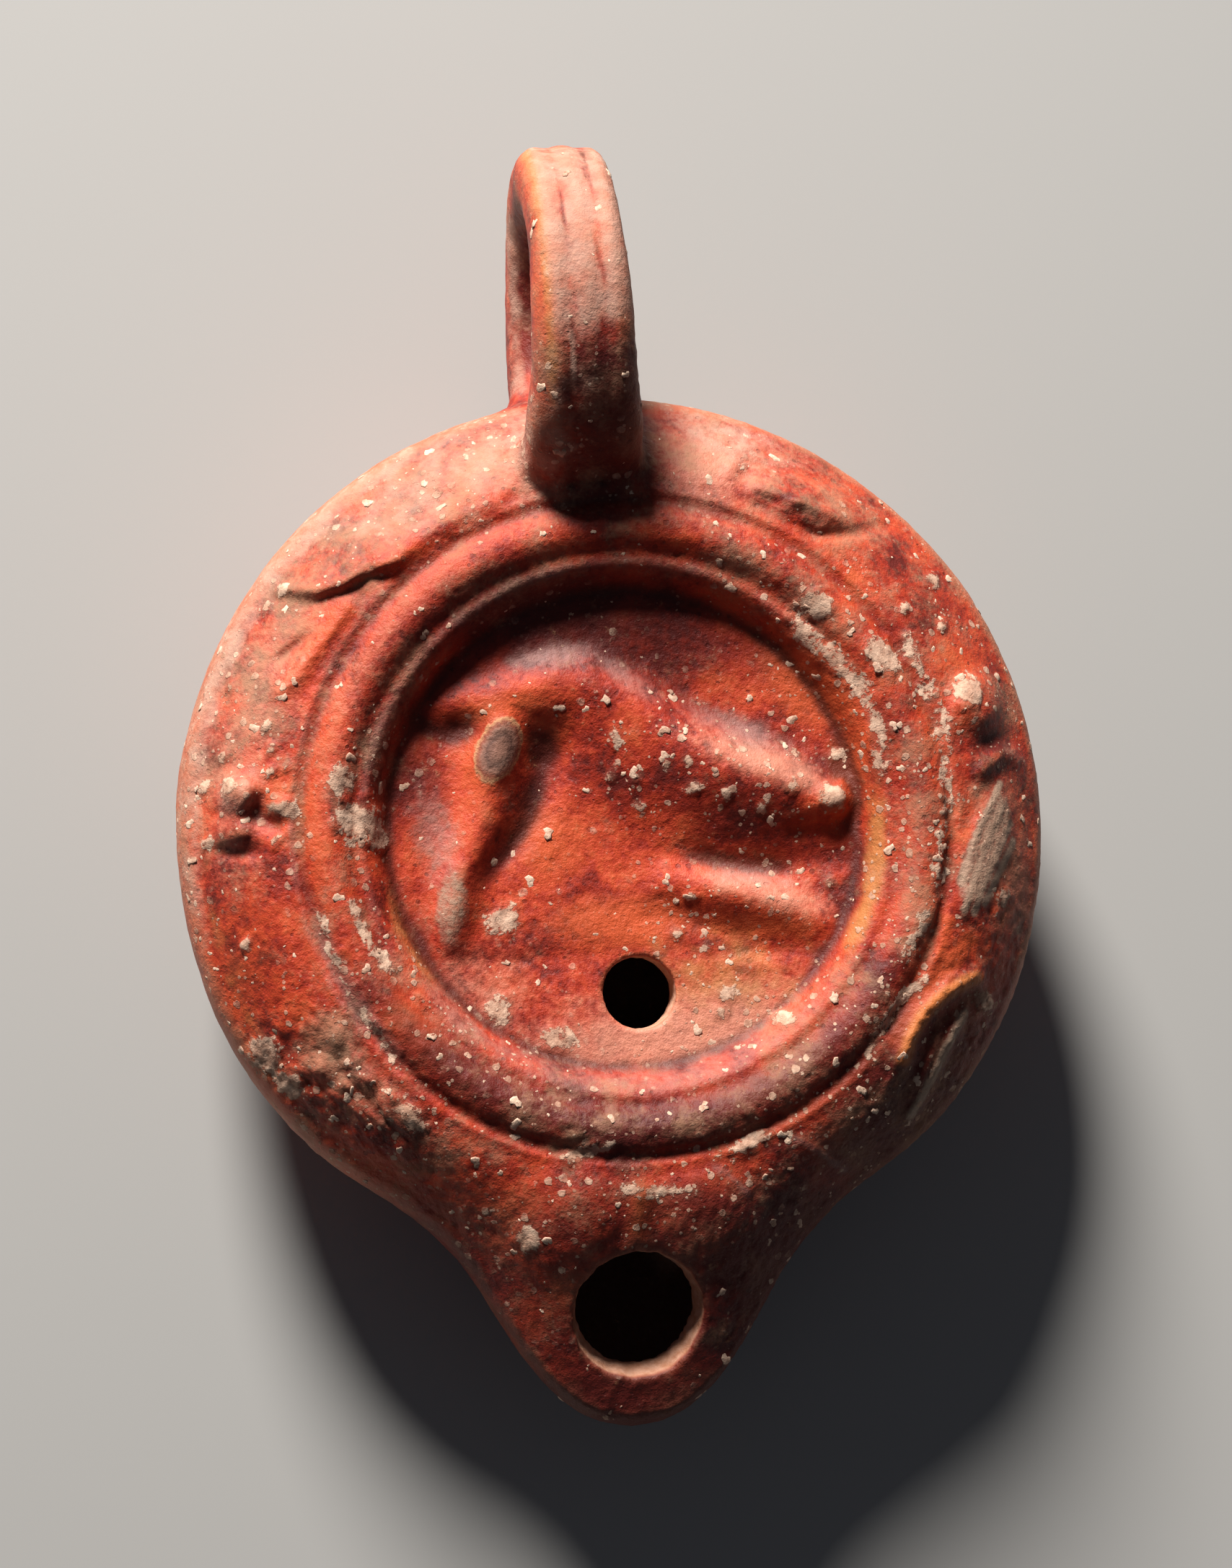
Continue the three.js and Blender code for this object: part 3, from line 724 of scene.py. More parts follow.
skin_tree, handle_tree = surface_tree(skin), surface_tree(handle)
swollen_skin = swell_towards(skin, handle_tree, read_points(handle))
swollen_handle = swell_towards(handle, skin_tree, read_points(skin))
write_points(skin, swollen_skin)
write_points(handle, swollen_handle)
skin_tree = surface_tree(skin)
print("the skins swell by up to", FILLET_REACH / 4, "mm where they meet")


# %% Join and cut
def combine(target, other, operation):
    change = target.modifiers.new(operation, "BOOLEAN")
    change.operation = operation
    change.solver = "MANIFOLD"
    change.object = other
    evaluated = target.evaluated_get(bpy.context.evaluated_depsgraph_get())
    mesh = bpy.data.meshes.new_from_object(evaluated)
    target.modifiers.remove(change)
    target.data = mesh
    bpy.data.objects.remove(other)


combine(skin, handle, "UNION")
for cutter in (chamber, fill_drill, wick_drill):
    combine(skin, cutter, "DIFFERENCE")
lamp = skin
print("joined and cut:", len(lamp.data.polygons), "faces,", len(lamp.data.vertices), "points")

# %% [markdown]
# ## Soften every edge
#
# The holes were cut in soft clay and have been handled for years, so their rims are round. Wherever
# the joined mesh still turns sharply, the points nearby are moved towards the middle of their
# neighbours a few times, most at the crease and not at all a millimetre away.

# %% Find the creases
def sharp_points(thing, angle):
    work = bmesh.new()
    work.from_mesh(thing.data)
    sharp = {point.index for edge in work.edges if edge.calc_face_angle(0) > angle for point in edge.verts}
    work.free()
    return sorted(sharp)


def nearness(points, places, reach):
    tree = KDTree(len(places))
    for i, place in enumerate(places):
        tree.insert(place, i)
    tree.balance()
    away = np.array([tree.find(point)[2] for point in points])
    return fall(away, 0, reach)


# %% Round the rims and the joint of the handle
CREASE_ANGLE, CREASE_REACH, CREASE_ROUNDS = math.radians(32), 0.9, 7

edges = read_edges(lamp)
points = read_points(lamp)
creases = sharp_points(lamp, CREASE_ANGLE)
softness = nearness(points, points[creases], CREASE_REACH)
points = relax(points, edges, CREASE_ROUNDS, 0.6 * softness[:, None])
write_points(lamp, points)
print(len(creases), "points lay on creases")

# %% [markdown]
# ## Tell the inside from the outside
#
# The slip covers the outside only: the lamp was dipped, and the chamber was left bare. A point that
# lies below the skin as it was before the holes were cut belongs to a hole or to the chamber.

# %% Find the bare clay
BARE_DEPTH = 0.5


def depth_below_skin(points):
    depth = np.zeros(len(points))
    for i, point in enumerate(points):
        place, normal, _, away = skin_tree.find_nearest(point)
        if (Vector(point) - place).dot(normal) < 0:
            depth[i] = away
    return depth


bare = rise(depth_below_skin(points), 0.15, BARE_DEPTH)
print(int((bare > 0.5).sum()), "points are bare clay inside")

# %% [markdown]
# ## Where time has left its marks, and where light and shade are painted
#
# Lime, chalk and soot didn't settle evenly, and some marks paint light and shade into the colour. Each has
# its places, given as soft ovals on the lamp, soft arcs along its rings and streaks along a line, and noise
# gives them ragged edges later. Every mark is a short table: how strong it is, then where it lies and how far
# it reaches.

# %% Soft patches
def patch(x, y, centre, half_length, half_width, turn=0):
    return np.exp(-0.7 * oval(x, y, centre, half_length, half_width, turn) ** 2)


def arc(x, y, radius, half_width, start, end):
    middle, half = math.radians((start + end) / 2), math.radians((end - start) / 2)
    turn = np.angle(np.exp(1j * (np.arctan2(y, x) - middle)))
    return np.exp(-0.7 * (((np.hypot(x, y) - radius) / half_width) ** 2 + (turn / half) ** 4))


def streak(x, y, points, width):
    return stroke(x, y, points, width, 1)


def strongest(*marks):
    return np.max(marks, axis=0)


def marked(x, y, patches=(), arcs=(), streaks=()):
    found = []
    for shape, rows in ((patch, patches), (arc, arcs), (streak, streaks)):
        found += [strength * shape(x, y, *row) for strength, *row in rows]
    return strongest(*found)


# %% Lime
LIME_PATCHES = [
    ((-24.8, 0.8), 2.6, 2.4), ((-26.4, 4.9), 1.3, 1.7), ((-23.2, -0.4), 1.6, 1.2),
    ((-36.4, 4.6), 1.0, 1.0), ((-31.5, 2.4), 1.2, 1.0), ((20.0, 15.0), 2.2, 1.3, -50),
    ((24.2, 15.4), 2.4, 1.5, -50), ((18.1, 20.2), 2.2, 1.4, -35), ((32.6, 11.8), 1.9, 1.5, 30),
    ((-11.4, -8.0), 1.9, 1.5, 15), ((-6.9, -19.2), 2.2, 1.3, 10), ((-12.4, -16.4), 1.2, 1.4),
    ((-33.6, -19.6), 2.0, 1.6, -50), ((-31.5, -22.6), 1.8, 1.3, -50), ((-21.4, -25.6), 2.6, 1.5, -40),
    ((0.5, -33.4), 3.4, 0.8), ((-5.5, -29.7), 3.0, 0.7, 10), ((10.4, -29.2), 2.2, 0.7, 25),
    ((-10.6, -37.5), 1.6, 1.1, -40), ((33.3, -16.8), 1.4, 0.9, -50), ((9.2, -15.6), 1.1, 0.8),
    ((8.8, -17.3), 1.0, 0.7), ((14.4, -18.2), 1.1, 0.8), ((19.6, 2.4), 1.6, 1.3),
    ((30.2, 22.6), 1.2, 0.8), ((35.6, -7.6), 1.5, 0.7, 60)]
CRUMBS = [(-1.1, 4.9), (1.4, 4.8), (4.0, 5.7), (5.9, 6.0), (1.6, 2.0), (6.4, 3.5), (9.5, 2.8), (12.9, 1.4),
          (16.3, 6.6), (20.4, 6.5), (15.6, 3.5), (19.3, -5.6), (3.9, -3.6), (6.0, -6.5), (4.7, -9.8),
          (7.4, -11.1), (-0.6, 8.4)]
LIME_STREAKS = [
    (0.74, [(16.5, 18.2), (20.1, 15.0), (22.9, 11.6), (24.0, 8.4), (23.9, 5.3)], 1.4),
    (0.66, [(26.6, 17.0), (29.6, 9.9), (30.0, 2.1), (28.6, -7.2), (25.5, -12.2)], 1.4),
    (0.85, [(21.6, -21.3), (24.0, -17.6), (27.1, -14.9)], 0.8),
    (0.75, [(-25.8, -6.3), (-24.3, -9.9), (-22.5, -12.5)], 0.9),
    (0.6, [(-28.7, -7.2), (-27.5, -11.0), (-26.3, -14.3), (-22.1, -20.8)], 0.9)]
LIME = dict(patches=[(1, *row) for row in LIME_PATCHES]
            + [(0.9, crumb, 0.75, 0.6, 40 * i) for i, crumb in enumerate(CRUMBS)]
            + [(1, grain, 0.7, 0.5, 60) for grain in STUCK_GRAINS], streaks=LIME_STREAKS)
print(len(LIME["patches"]), "patches and", len(LIME_STREAKS), "streaks of lime")

# %% Where a point lies on the strap
STRAP_ROOT_Y = 46


def along_strap(x, y, z):
    across = x * math.cos(HANDLE_TURN) + y * math.sin(HANDLE_TURN) - HANDLE_SHIFT
    on_handle = rise(y, 36, 3) * rise(z, 22.5, 2)
    return across - (z - HANDLE_Z) * math.tan(HANDLE_LEAN), on_handle


def groove_lines(across, y):
    left = bump(across, -1.25 + 0.15 * np.sin(1.1 * y), 0.45) * (0.6 + 0.4 * np.sin(0.55 * y + 2.5))
    right = bump(across, 1.65 + 0.18 * np.sin(0.8 * y + 1), 0.45) * (0.65 + 0.35 * np.sin(0.7 * y + 3.3))
    return np.maximum(left, right)


# A painted highlight: the lit wall of the left groove on the handle.
def lit_spike_at(across, y):
    return bump(across, -1.7 + 0.05 * (STRAP_ROOT_Y - y), 0.5) * rise(y, 37, 3)


def inside_ring(y, z):
    from_middle = np.hypot((y - HANDLE_Y) / FRONT_LENGTH, (z - HANDLE_Z) / HALF_HEIGHT)
    return rise(y, 42, 3) * fall(from_middle, 0.72, 0.2)


# %% Grey skins, ochre and orange, much of it painted light
HEART_LINE = [(0, -33.5), (-0.5, -38)]
# The lit edge of the low leaf, where orange light is painted.
LOW_LEAF_LIT_LINE = ring((-20, 33.6), (-25, 32.6), (-32, 31.8), (-40, 31.8))
FEATHER_MARKS = dict(
    patches=[(0.6, (33.2, -17), 1.8, 1.2, -50)],
    streaks=[(0.5, [(-14.9, -5.2), (-14.8, -8.6)], 0.3), (0.9, LOW_LEAF_RIB, 0.65),
             (0.8, [(-32.6, 2.6), (-31.2, 2.2)], 0.7), (0.45, [(36.6, 6.6), (38.4, 5.2)], 1.0),
             *[(0.9, rib, 0.55) for rib in FEATHER_RIBS]])
# Ochre stain mixed with painted light: the lit inner walls of the discus on the right and lower left, and the
# lit outer rim and groove on the left.
OCHRE_AND_LIGHT_MARKS = dict(
    arcs=[(1, 23.6, 0.9, -35, 8), (0.8, 22.8, 0.9, -168, -142), (0.45, 38.8, 0.9, 165, 225),
          (0.4, 30.2, 0.8, 150, 200)],
    patches=[(0.7, (10, -14), 9, 5), (0.6, (-34, -20), 3, 2, -50)])
# Orange here is painted light: the lit slopes of the beast, the lit edges of the leaves, the heart's spur and
# the rings on the left that face the light.
LIT_ORANGE_MARKS = dict(
    patches=[(1, (17.5, 13), 5, 3, -50), (0.9, (21.5, 5.6), 2, 4), (1, (0, -8.6), 7, 2.6),
             (0.9, (12, -9.4), 6, 1.6), (0.9, (-7, -1), 3.5, 3.5), (0.8, (-11.5, 11.4), 5, 1.4, 15),
             (0.6, (-13.5, 5), 2, 6, 10), (0.7, (-20, -18), 5, 2.4, -50), (0.6, (-12, -14), 4, 3),
             (0.5, (-36, -12), 4, 7)],
    arcs=[(0.6, 28.9, 1.0, 120, 205), (0.6, 31, 0.8, -80, -30)],
    streaks=[(0.7, LEFT_STEM, 1.3), (1, HEART_LINE, 1.4), (0.95, LOW_LEAF_LIT_LINE, 1.3),
             (0.8, [(29.6, -9.4), (28.8, -13)], 0.8)])


def feather_at(x, y):
    foot = 0.6 * pad(x, y, (-16.4, -6.9), 4.4, 1.8, FOOT_PAD_TURN, 0.6, 0.5)
    inside = 0.7 * pad(x, y, FEATHER, 6.4, 2.2, FEATHER_TURN, 0.7, 0.4)
    return strongest(foot, inside, marked(x, y, **FEATHER_MARKS))


# The handle's lit left flank gets ochre and painted light.
def ochre_and_light_at(x, y, z):
    across, on_handle = along_strap(x, y, z)
    return np.maximum(0.85 * on_handle * bump(across, -3.3, 1.2), marked(x, y, **OCHRE_AND_LIGHT_MARKS))


# %% Chalk and dust, partly painted light
# Chalk and painted light: the upper left shoulder and the outer rim, which face the light, are made paler.
CHALK_AND_LIGHT_MARKS = dict(
    patches=[(0.78, (-16, 33), 13, 4.5, 28), (0.8, (-8, 35), 4, 6), (0.7, (10, 37), 7, 3, -15),
             (0.8, (-35.9, 3.9), 1.9, 2.0), (0.7, (32.6, 12.2), 2, 1.6)],
    arcs=[(0.9, 40.0, 1.3, 95, 195)])
# Dust settles on the shoulder and the mouldings, and some patches are painted light: the right shoulder, the
# low leaf and the corner by the grapes, which the light only grazes, are made paler.
DUST_AND_LIGHT_MARKS = dict(
    patches=[(0.9, (37, -9), 3.5, 8, 10), (0.7, (29, -24), 4, 3, -45), (0.8, (20, 31), 8, 5, -35),
             (0.95, (-28, -21), 7, 5, -45)],
    arcs=[(0.5, 24.5, 2.0, -150, -20), (0.9, 36, 4.5, 95, 180), (0.8, 27, 3, 20, 75),
          (0.8, 27.5, 2.4, -30, 20)])


# On the handle, the top that faces the light and the lit lower flank of its loop get pale chalk and painted
# light.
def chalk_and_light_at(x, y, z):
    across, on_handle = along_strap(x, y, z)
    lit_crest = smooth_step((y - 42 - 0.35 * across) / 4) * rise(across, -4.4, 2)
    lit_crest = lit_crest * rise(z, 20, 9) * (1 - 0.7 * groove_lines(across, y)) * (1 - inside_ring(y, z))
    lit_low_flank = rise(y, 40, 3) * rise(-across, 2.5, 1.5) * bump(z, 14.5, 7.5)
    on_top = on_handle * np.maximum(lit_crest, lit_spike_at(across, y))
    return strongest(marked(x, y, **CHALK_AND_LIGHT_MARKS), on_top, lit_low_flank)


def dust_and_light_at(x, y):
    shoulder = rise(np.hypot(x, y), 21.5, 2.5) * (1 - 0.5 * rise(-y, 28, 8))
    settled_and_lit = np.maximum(0.08 + 0.42 * shoulder, marked(x, y, **DUST_AND_LIGHT_MARKS))
    settled_and_lit = settled_and_lit * (1 - 0.6 * patch(x, y, (-36, -10), 4, 7)) * fall(-y, 46, 5)
    return (1 - 0.85 * marked(x, y, **LIT_ORANGE_MARKS)) * settled_and_lit


# %% Haze and pale slip, with painted sheen and highlights
# The crescent is painted light: the lit edge of the low leaf and of the heart's spur.
LIT_CRESCENT_MARKS = dict(streaks=[(1, LOW_LEAF_EDGE, 0.85), (0.35, [(0, -33), (-0.5, -37)], 0.9)])
# A thin mauve film of haze, and painted sheen: the sheen on the lit crest of the beast's back and on its hind
# leg, and along the far wall of the discus.
HAZE_AND_SHEEN_MARKS = dict(
    patches=[(1, (-6, 16.2), 4.5, 1.3, 5), (0.9, (0.5, 14), 4, 1.2, -35), (1, (11, 9), 5, 1.7, -22),
             (0.8, (12, -4.9), 5, 1.0, -8), (0.9, (-17.6, 0), 2.2, 4.5, 10), (0.4, (-13, -15.5), 6, 3.5, -35),
             (0.6, (14, 36), 7, 3, -20), (0.5, (36, -14), 3, 7, -20), (0.5, (-24, -22), 6, 3, -45)],
    arcs=[(0.8, 29.9, 1.1, -168, -135), (0.7, 23.6, 1.5, -150, -35), (0.7, 24.6, 0.7, 40, 205),
          (0.6, 31.0, 0.45, 110, 235), (0.5, 31.6, 0.7, 0, 45)],
    streaks=[(0.7, HEART_RIMS[0], 0.5), (0.7, HEART_RIMS[1], 0.5)])
# Pale thin slip and painted highlight: the pinkish shine on the beast's haunch and hind leg, on the floor of
# the discus where it rises towards the light, on the rings and shoulder on the left that face the light, and
# a paler right shoulder that the light only grazes.
PALE_SLIP_AND_LIGHT_MARKS = dict(
    patches=[(0.6, (37.5, -6), 2.5, 8, 10), (0.9, (13, 6), 7, 1.7, -22), (0.85, (13, -6), 6, 1.7, -18),
             (0.5, (-15, -15), 6, 6), (0.8, (9, 34), 5, 5), (0.4, (-34, 17), 4, 3, -60)],
    arcs=[(0.5, 36, 4, 145, 185), (0.35, 28, 2.2, 120, 190)])


def pale_slip_and_light_at(x, y):
    on_floor = fall(np.hypot(x, y), 21.5, 2)
    return np.maximum(on_floor * patch(x, y, (6, -19), 15, 4, 5), marked(x, y, **PALE_SLIP_AND_LIGHT_MARKS))


# %% Soot and painted shade
# Soot blackens the nozzle, but most of these marks are painted shade: the top of the discus in the shadow of
# its wall and handle, its left wall, the trunk's lower side, the valley behind the foreleg, the hollow under
# the muzzle, the hollow of the low leaf, and the lower right of the shoulder and the lower band, which face
# away from the light.
SOOT_AND_SHADE_MARKS = dict(
    patches=[(0.95, (25, -27), 13, 7, 45), (0.2, (-22, -28), 10, 6, -50), (0.95, (-1, 36), 6, 8),
             (0.95, (-6, 20), 12, 4.5), (0.6, (6, 18.5), 8, 3.5, -25), (0.6, (-20, 8), 3, 9, 10),
             (0.45, (10, 0.5), 8, 3, -15), (0.15, (-27, -22), 6, 4, -45)],
    arcs=[(0.95, 27.4, 2.3, -148, -28), (0.35, 24.2, 1.8, -150, -35)],
    streaks=[(0.4, BEHIND_FORELEG, 1.5), (0.5, UNDER_MUZZLE, 1.6), (0.25, LOW_LEAF_HOLLOW, 1.2)])


# The nozzle and its tip get soot and painted shade. The handle's front, which faces away from the light, its
# grooves and the inside of its loop get painted shade, kept off its lit left corner and its lit edge.
def soot_and_shade_at(x, y, z):
    across, on_handle = along_strap(x, y, z)
    nozzle = (0.64 + 0.3 * rise(x, 0, 9)) * rise(-y, 27, 10)
    corner = 1 - 0.9 * bump(across, -4.2, 1.7)
    shaded_front = 0.95 * on_handle * smooth_step((43.6 - y + 0.5 * across) / 3) * corner * (1 - lit_spike_at(across, y))
    groove_shade = 0.75 * on_handle * groove_lines(across, y)
    tip = rise(-y, 45, 8)
    return strongest(nozzle, tip, shaded_front, groove_shade, 0.8 * inside_ring(y, z), marked(x, y, **SOOT_AND_SHADE_MARKS))


# %% Where the flecks lie
FLECK_MARKS = dict(
    patches=[(1, (9, 4.5), 9, 5, -25), (1, (3, 5.5), 3, 3), (0.9, (16, 8), 3, 3), (1, (8, -9), 5, 4),
             (0.8, (9, -17), 7, 4), (0.9, (-26, -23), 9, 7, -45), (0.6, (0, -34), 12, 5),
             (0.8, (-35, 10), 4, 9, 10), (0.7, (26, -24), 10, 8, 45), (0.6, (-14, 34), 12, 5, 25),
             (0.6, (33, 8), 6, 14)],
    arcs=[(0.9, 27, 4, -60, 60), (0.6, 24.5, 2, 150, 260), (0.5, 40, 1.5, 120, 250)])


def fleck_share_at(x, y, z):
    return (0.2 + 0.8 * marked(x, y, **FLECK_MARKS)) * rise(z, 15, 3) + 0.05


# %% [markdown]
# ## Age the clay
#
# Nothing on the lamp is quite true. The mould was a little uneven, the surface is pitted where grit
# fell out, and the lime stands up in thin patches. All of that is moved into the mesh along its
# normals, from noise of a few sizes with fixed seeds, so that the light catches it.

# %% Noise at every point
def clouds(points, size, octaves=3, shift=0.0):
    return np.array([noise.fractal(Vector(point), 1.0, 2.0, octaves) for point in points / size + shift])


def pits(points, spacing, radius, share, shift):
    depth = np.zeros(len(points))
    for i, point in enumerate(points / spacing + shift):
        gaps, centres = noise.voronoi(Vector(point))
        chance = abs(noise.cell(centres[0] * 7.31))
        if chance < share:
            depth[i] = 1 - gaps[0] * spacing / (radius * (0.6 + chance / share))
    return smooth_step(depth)


# %% Move the age into the mesh
CRUMBLING = dict(patches=[(1, (-27, -23), 9, 6, -45), (0.5, (0, -40), 14, 12), (0.6, (32, -16), 12, 6, 60)],
                 arcs=[(0.4, 27, 3, -160, -30)])
STANDING_BELOW, FOOT_CLEARANCE = 0.02, 0.01

x, y, z = points.T
normals = read_normals(lamp)
above_seam = rise(z, 13, 2) * (1 - bare)
lime = marked(x, y, **LIME) * above_seam
crust = rise(lime + 0.4 * clouds(points, 1.6, 3, 5.0), 0.5, 0.12)
wobble = 0.16 * clouds(points, 13, 2) + 0.05 * clouds(points, 3.2, 2, 11.0)
grain = 0.05 * clouds(points, 0.9, 2, 23.0)
holes = 0.14 * pits(points, 1.9, 0.42, 0.35, 0.0) + 0.16 * pits(points, 6.5, 1.1, 0.4, 3.0)
crust_height = (0.13 + 0.12 * clouds(points, 0.7, 2, 31.0)) * crust
rough_share = 0.35 * soot_and_shade_at(x, y, z) + marked(x, y, **CRUMBLING)
crumble = 0.18 * rough_share * above_seam * clouds(points, 0.8, 3, 41.0)
move = wobble + grain - holes + crust_height + crumble
standing = z < STANDING_BELOW
points = points + normals * move[:, None]
points[:, 2] = np.where(standing, 0, np.maximum(points[:, 2], FOOT_CLEARANCE))
write_points(lamp, points)
print("points moved by", round(float(move.min()), 2), "to", round(float(move.max()), 2), "mm")

# %% [markdown]
# ## Wear, and dirt with painted shade, from the form itself
#
# A shader can't tell a ridge from a groove, so the mesh tells it. How far a point stands proud of its
# smoothed surroundings says where hands have rubbed the slip off, and where hollows gather dirt and painted
# shade. These numbers are kept at the points of the mesh.

# %% Measure and keep
def paint(thing, name, values):
    layer = thing.data.attributes.new(name, "FLOAT", "POINT")
    layer.data.foreach_set("value", np.clip(values, 0, 1).astype(np.float32))


def proud(rounds):
    return np.sum((points - relax(points, edges, rounds, 0.7)) * normals, axis=1)


x, y, z = points.T
normals = read_normals(lamp)
fine, broad = proud(6), proud(50)
worn = 0.7 * rise(broad, 0.12, 0.7) + 0.45 * rise(fine, 0.035, 0.09)
# Grime is dirt and painted shade in one: it darkens every groove and hollow of the form where shade falls.
grime_and_shade = 0.6 * rise(-broad, 0.1, 0.5) + 0.7 * rise(-fine, 0.02, 0.07)
worn = relax(worn[:, None], edges, 2, 0.7)[:, 0]
grime_and_shade = relax(grime_and_shade[:, None], edges, 5, 0.7)[:, 0]
outside = 1 - bare
boss_skin = 1.1 - oval(x, y, SHOULDER_BOSS, 3.2, 2.0, BOSS_TURN)
# Soot, grime, haze, pale, orange, ochre, crescent, dust and chalk also carry painted light and shade.
fields = {
    "worn": worn, "grime_and_shade": grime_and_shade, "bare": bare, "lime": lime,
    "pale_slip_and_light": pale_slip_and_light_at(x, y) * above_seam,
    "flecked": fleck_share_at(x, y, z) * outside,
    "ochre_and_light": ochre_and_light_at(x, y, z) * outside,
    "lit_orange": marked(x, y, **LIT_ORANGE_MARKS) * above_seam,
    "haze_and_sheen": marked(x, y, **HAZE_AND_SHEEN_MARKS) * above_seam,
    "grey_skin": boss_skin * above_seam,
    "feather": feather_at(x, y) * above_seam,
    "dusty_and_lit": dust_and_light_at(x, y) * (0.4 + 0.6 * above_seam) * outside,
    "lit_crescent": marked(x, y, **LIT_CRESCENT_MARKS) * above_seam,
    "chalk_and_light": chalk_and_light_at(x, y, z) * outside,
    "soot_and_shade": soot_and_shade_at(x, y, z) * outside,
}
for name, values in fields.items():
    paint(lamp, name, values)
print("painted", ", ".join(f"{name} {np.clip(values, 0, 1).mean():.2f}" for name, values in fields.items()))

# %% [markdown]
# ## Fired clay and its slip
#
# The material is built in layers much as the real surface is: buff clay below, red slip over it, then wear,
# soot, dirt, chalk and lime, each laid over the last, and painted light and shade are laid in with them: lit
# edges, sheen and highlights, and shade in hollows and on faces turned from the light. Noise gives every
# layer's edge its ragged line, and the layers that have a thickness also raise the surface a little through
# the bump.

# %% Helpers for nodes
def plug(socket, value):
    if isinstance(value, bpy.types.NodeSocket):
        tree.links.new(value, socket)
    else:
        socket.default_value = value


def add_node(kind, inputs=None, **settings):
    made = tree.nodes.new(kind)
    for name, value in settings.items():
        setattr(made, name, value)
    for socket, value in (inputs or {}).items():
        plug(made.inputs[socket], value)
    return made


def field(name):
    return add_node("ShaderNodeAttribute", attribute_name=name).outputs["Fac"]


def calculate(operation, a, b=0.0, c=0.0):
    return add_node("ShaderNodeMath", {0: a, 1: b, 2: c}, operation=operation).outputs[0]


def fit(value, start, end, low_out=0.0, high_out=1.0):
    reach = {"Value": value, "From Min": start, "From Max": end, "To Min": low_out, "To Max": high_out}
    return add_node("ShaderNodeMapRange", reach, interpolation_type="SMOOTHSTEP").outputs["Result"]


def cloud(size, detail, roughness, seed):
    look = {"Vector": where, "W": seed, "Scale": 1 / size, "Detail": detail, "Roughness": roughness}
    return add_node("ShaderNodeTexNoise", look, noise_dimensions="4D").outputs["Fac"]


def ragged(share, *noises):
    for noise_value, amount in zip(noises[::2], noises[1::2]):
        shift = calculate("MULTIPLY", calculate("SUBTRACT", noise_value, 0.5), amount)
        share = calculate("ADD", share, shift)
    return share


def lay_over(share, below, above):
    return add_node("ShaderNodeMix", {0: share, 6: below, 7: above}, data_type="RGBA").outputs[2]


def ramp(value, stops):
    made = add_node("ShaderNodeValToRGB")
    bar = made.color_ramp
    while len(bar.elements) < len(stops):
        bar.elements.new(0.5)
    for element, (place, stop_colour) in zip(bar.elements, stops):
        element.position, element.color = place, stop_colour
    plug(made.inputs[0], value)
    return made.outputs[0]


def specks(spacing, smallest, largest, share, seed):
    twist = add_node("ShaderNodeTexNoise", {"Vector": where, "Scale": 1.8 / spacing, "Detail": seed})
    shifted = add_node("ShaderNodeVectorMath", {0: twist.outputs["Color"], 1: (spacing * 1.6,) * 3, 2: where},
                       operation="MULTIPLY_ADD")
    wobbled = add_node("ShaderNodeMix", {0: 0.28, 4: where, 5: shifted.outputs[0]}, data_type="VECTOR")
    cells = add_node("ShaderNodeTexVoronoi", {"Vector": wobbled.outputs[1], "Scale": 1 / spacing})
    chance = add_node("ShaderNodeSeparateColor", {0: cells.outputs["Color"]})
    radius = fit(chance.outputs[0], 0, 1, smallest / spacing, largest / spacing)
    kept = calculate("LESS_THAN", chance.outputs[1], share)
    inside = fit(calculate("SUBTRACT", radius, cells.outputs["Distance"]), 0, 0.06)
    return calculate("MULTIPLY", inside, kept)


def colour(red, green, blue):
    return (red, green, blue, 1.0)


# %% Begin and end a material
def start_material(name):
    global tree, shader, where
    material = bpy.data.materials.new(name)
    material.use_nodes = True
    tree = material.node_tree
    shader = tree.nodes["Principled BSDF"]
    place = add_node("ShaderNodeTexCoord").outputs["Object"]
    where = add_node("ShaderNodeMapping", {"Scale": (1 / MM,) * 3, "Vector": place}).outputs[0]
    return material


def raise_surface(height, strength=1.0):
    raised = add_node("ShaderNodeBump", {"Distance": MM, "Strength": strength, "Height": height})
    plug(shader.inputs["Normal"], raised.outputs[0])


# %% The red slip
SLIP_MAROON, SLIP_RED = colour(0.12, 0.010, 0.006), colour(0.33, 0.024, 0.009)
SLIP_SCARLET, SLIP_ORANGE = colour(0.50, 0.052, 0.016), colour(0.60, 0.105, 0.034)

clay = start_material("slipped_clay")
mottle, blotch, speckle = cloud(6.5, 8, 0.6, 1.0), cloud(2.3, 7, 0.62, 2.0), cloud(0.7, 6, 0.62, 3.0)
grit = cloud(0.32, 4, 0.6, 4.0)
slip_tone = ragged(mottle, speckle, 0.45)
surface = ramp(slip_tone, [(0.36, SLIP_MAROON), (0.46, SLIP_RED), (0.56, SLIP_SCARLET), (0.70, SLIP_ORANGE)])
pinholes = specks(0.9, 0.12, 0.3, 0.3, 7.0)
surface = lay_over(calculate("MULTIPLY", pinholes, 0.55), surface, SLIP_MAROON)
print("the slip starts with", len(tree.nodes), "nodes")

# %% Worn slip, bare clay and painted light
THIN_SLIP, BUFF, PALE_BUFF = colour(0.52, 0.15, 0.07), colour(0.48, 0.21, 0.115), colour(0.62, 0.34, 0.23)
OCHRE_LIGHT, PALE_SLIP_LIGHT, LIT_SLIP = colour(0.52, 0.22, 0.065), colour(0.60, 0.25, 0.165), colour(0.60, 0.10, 0.028)

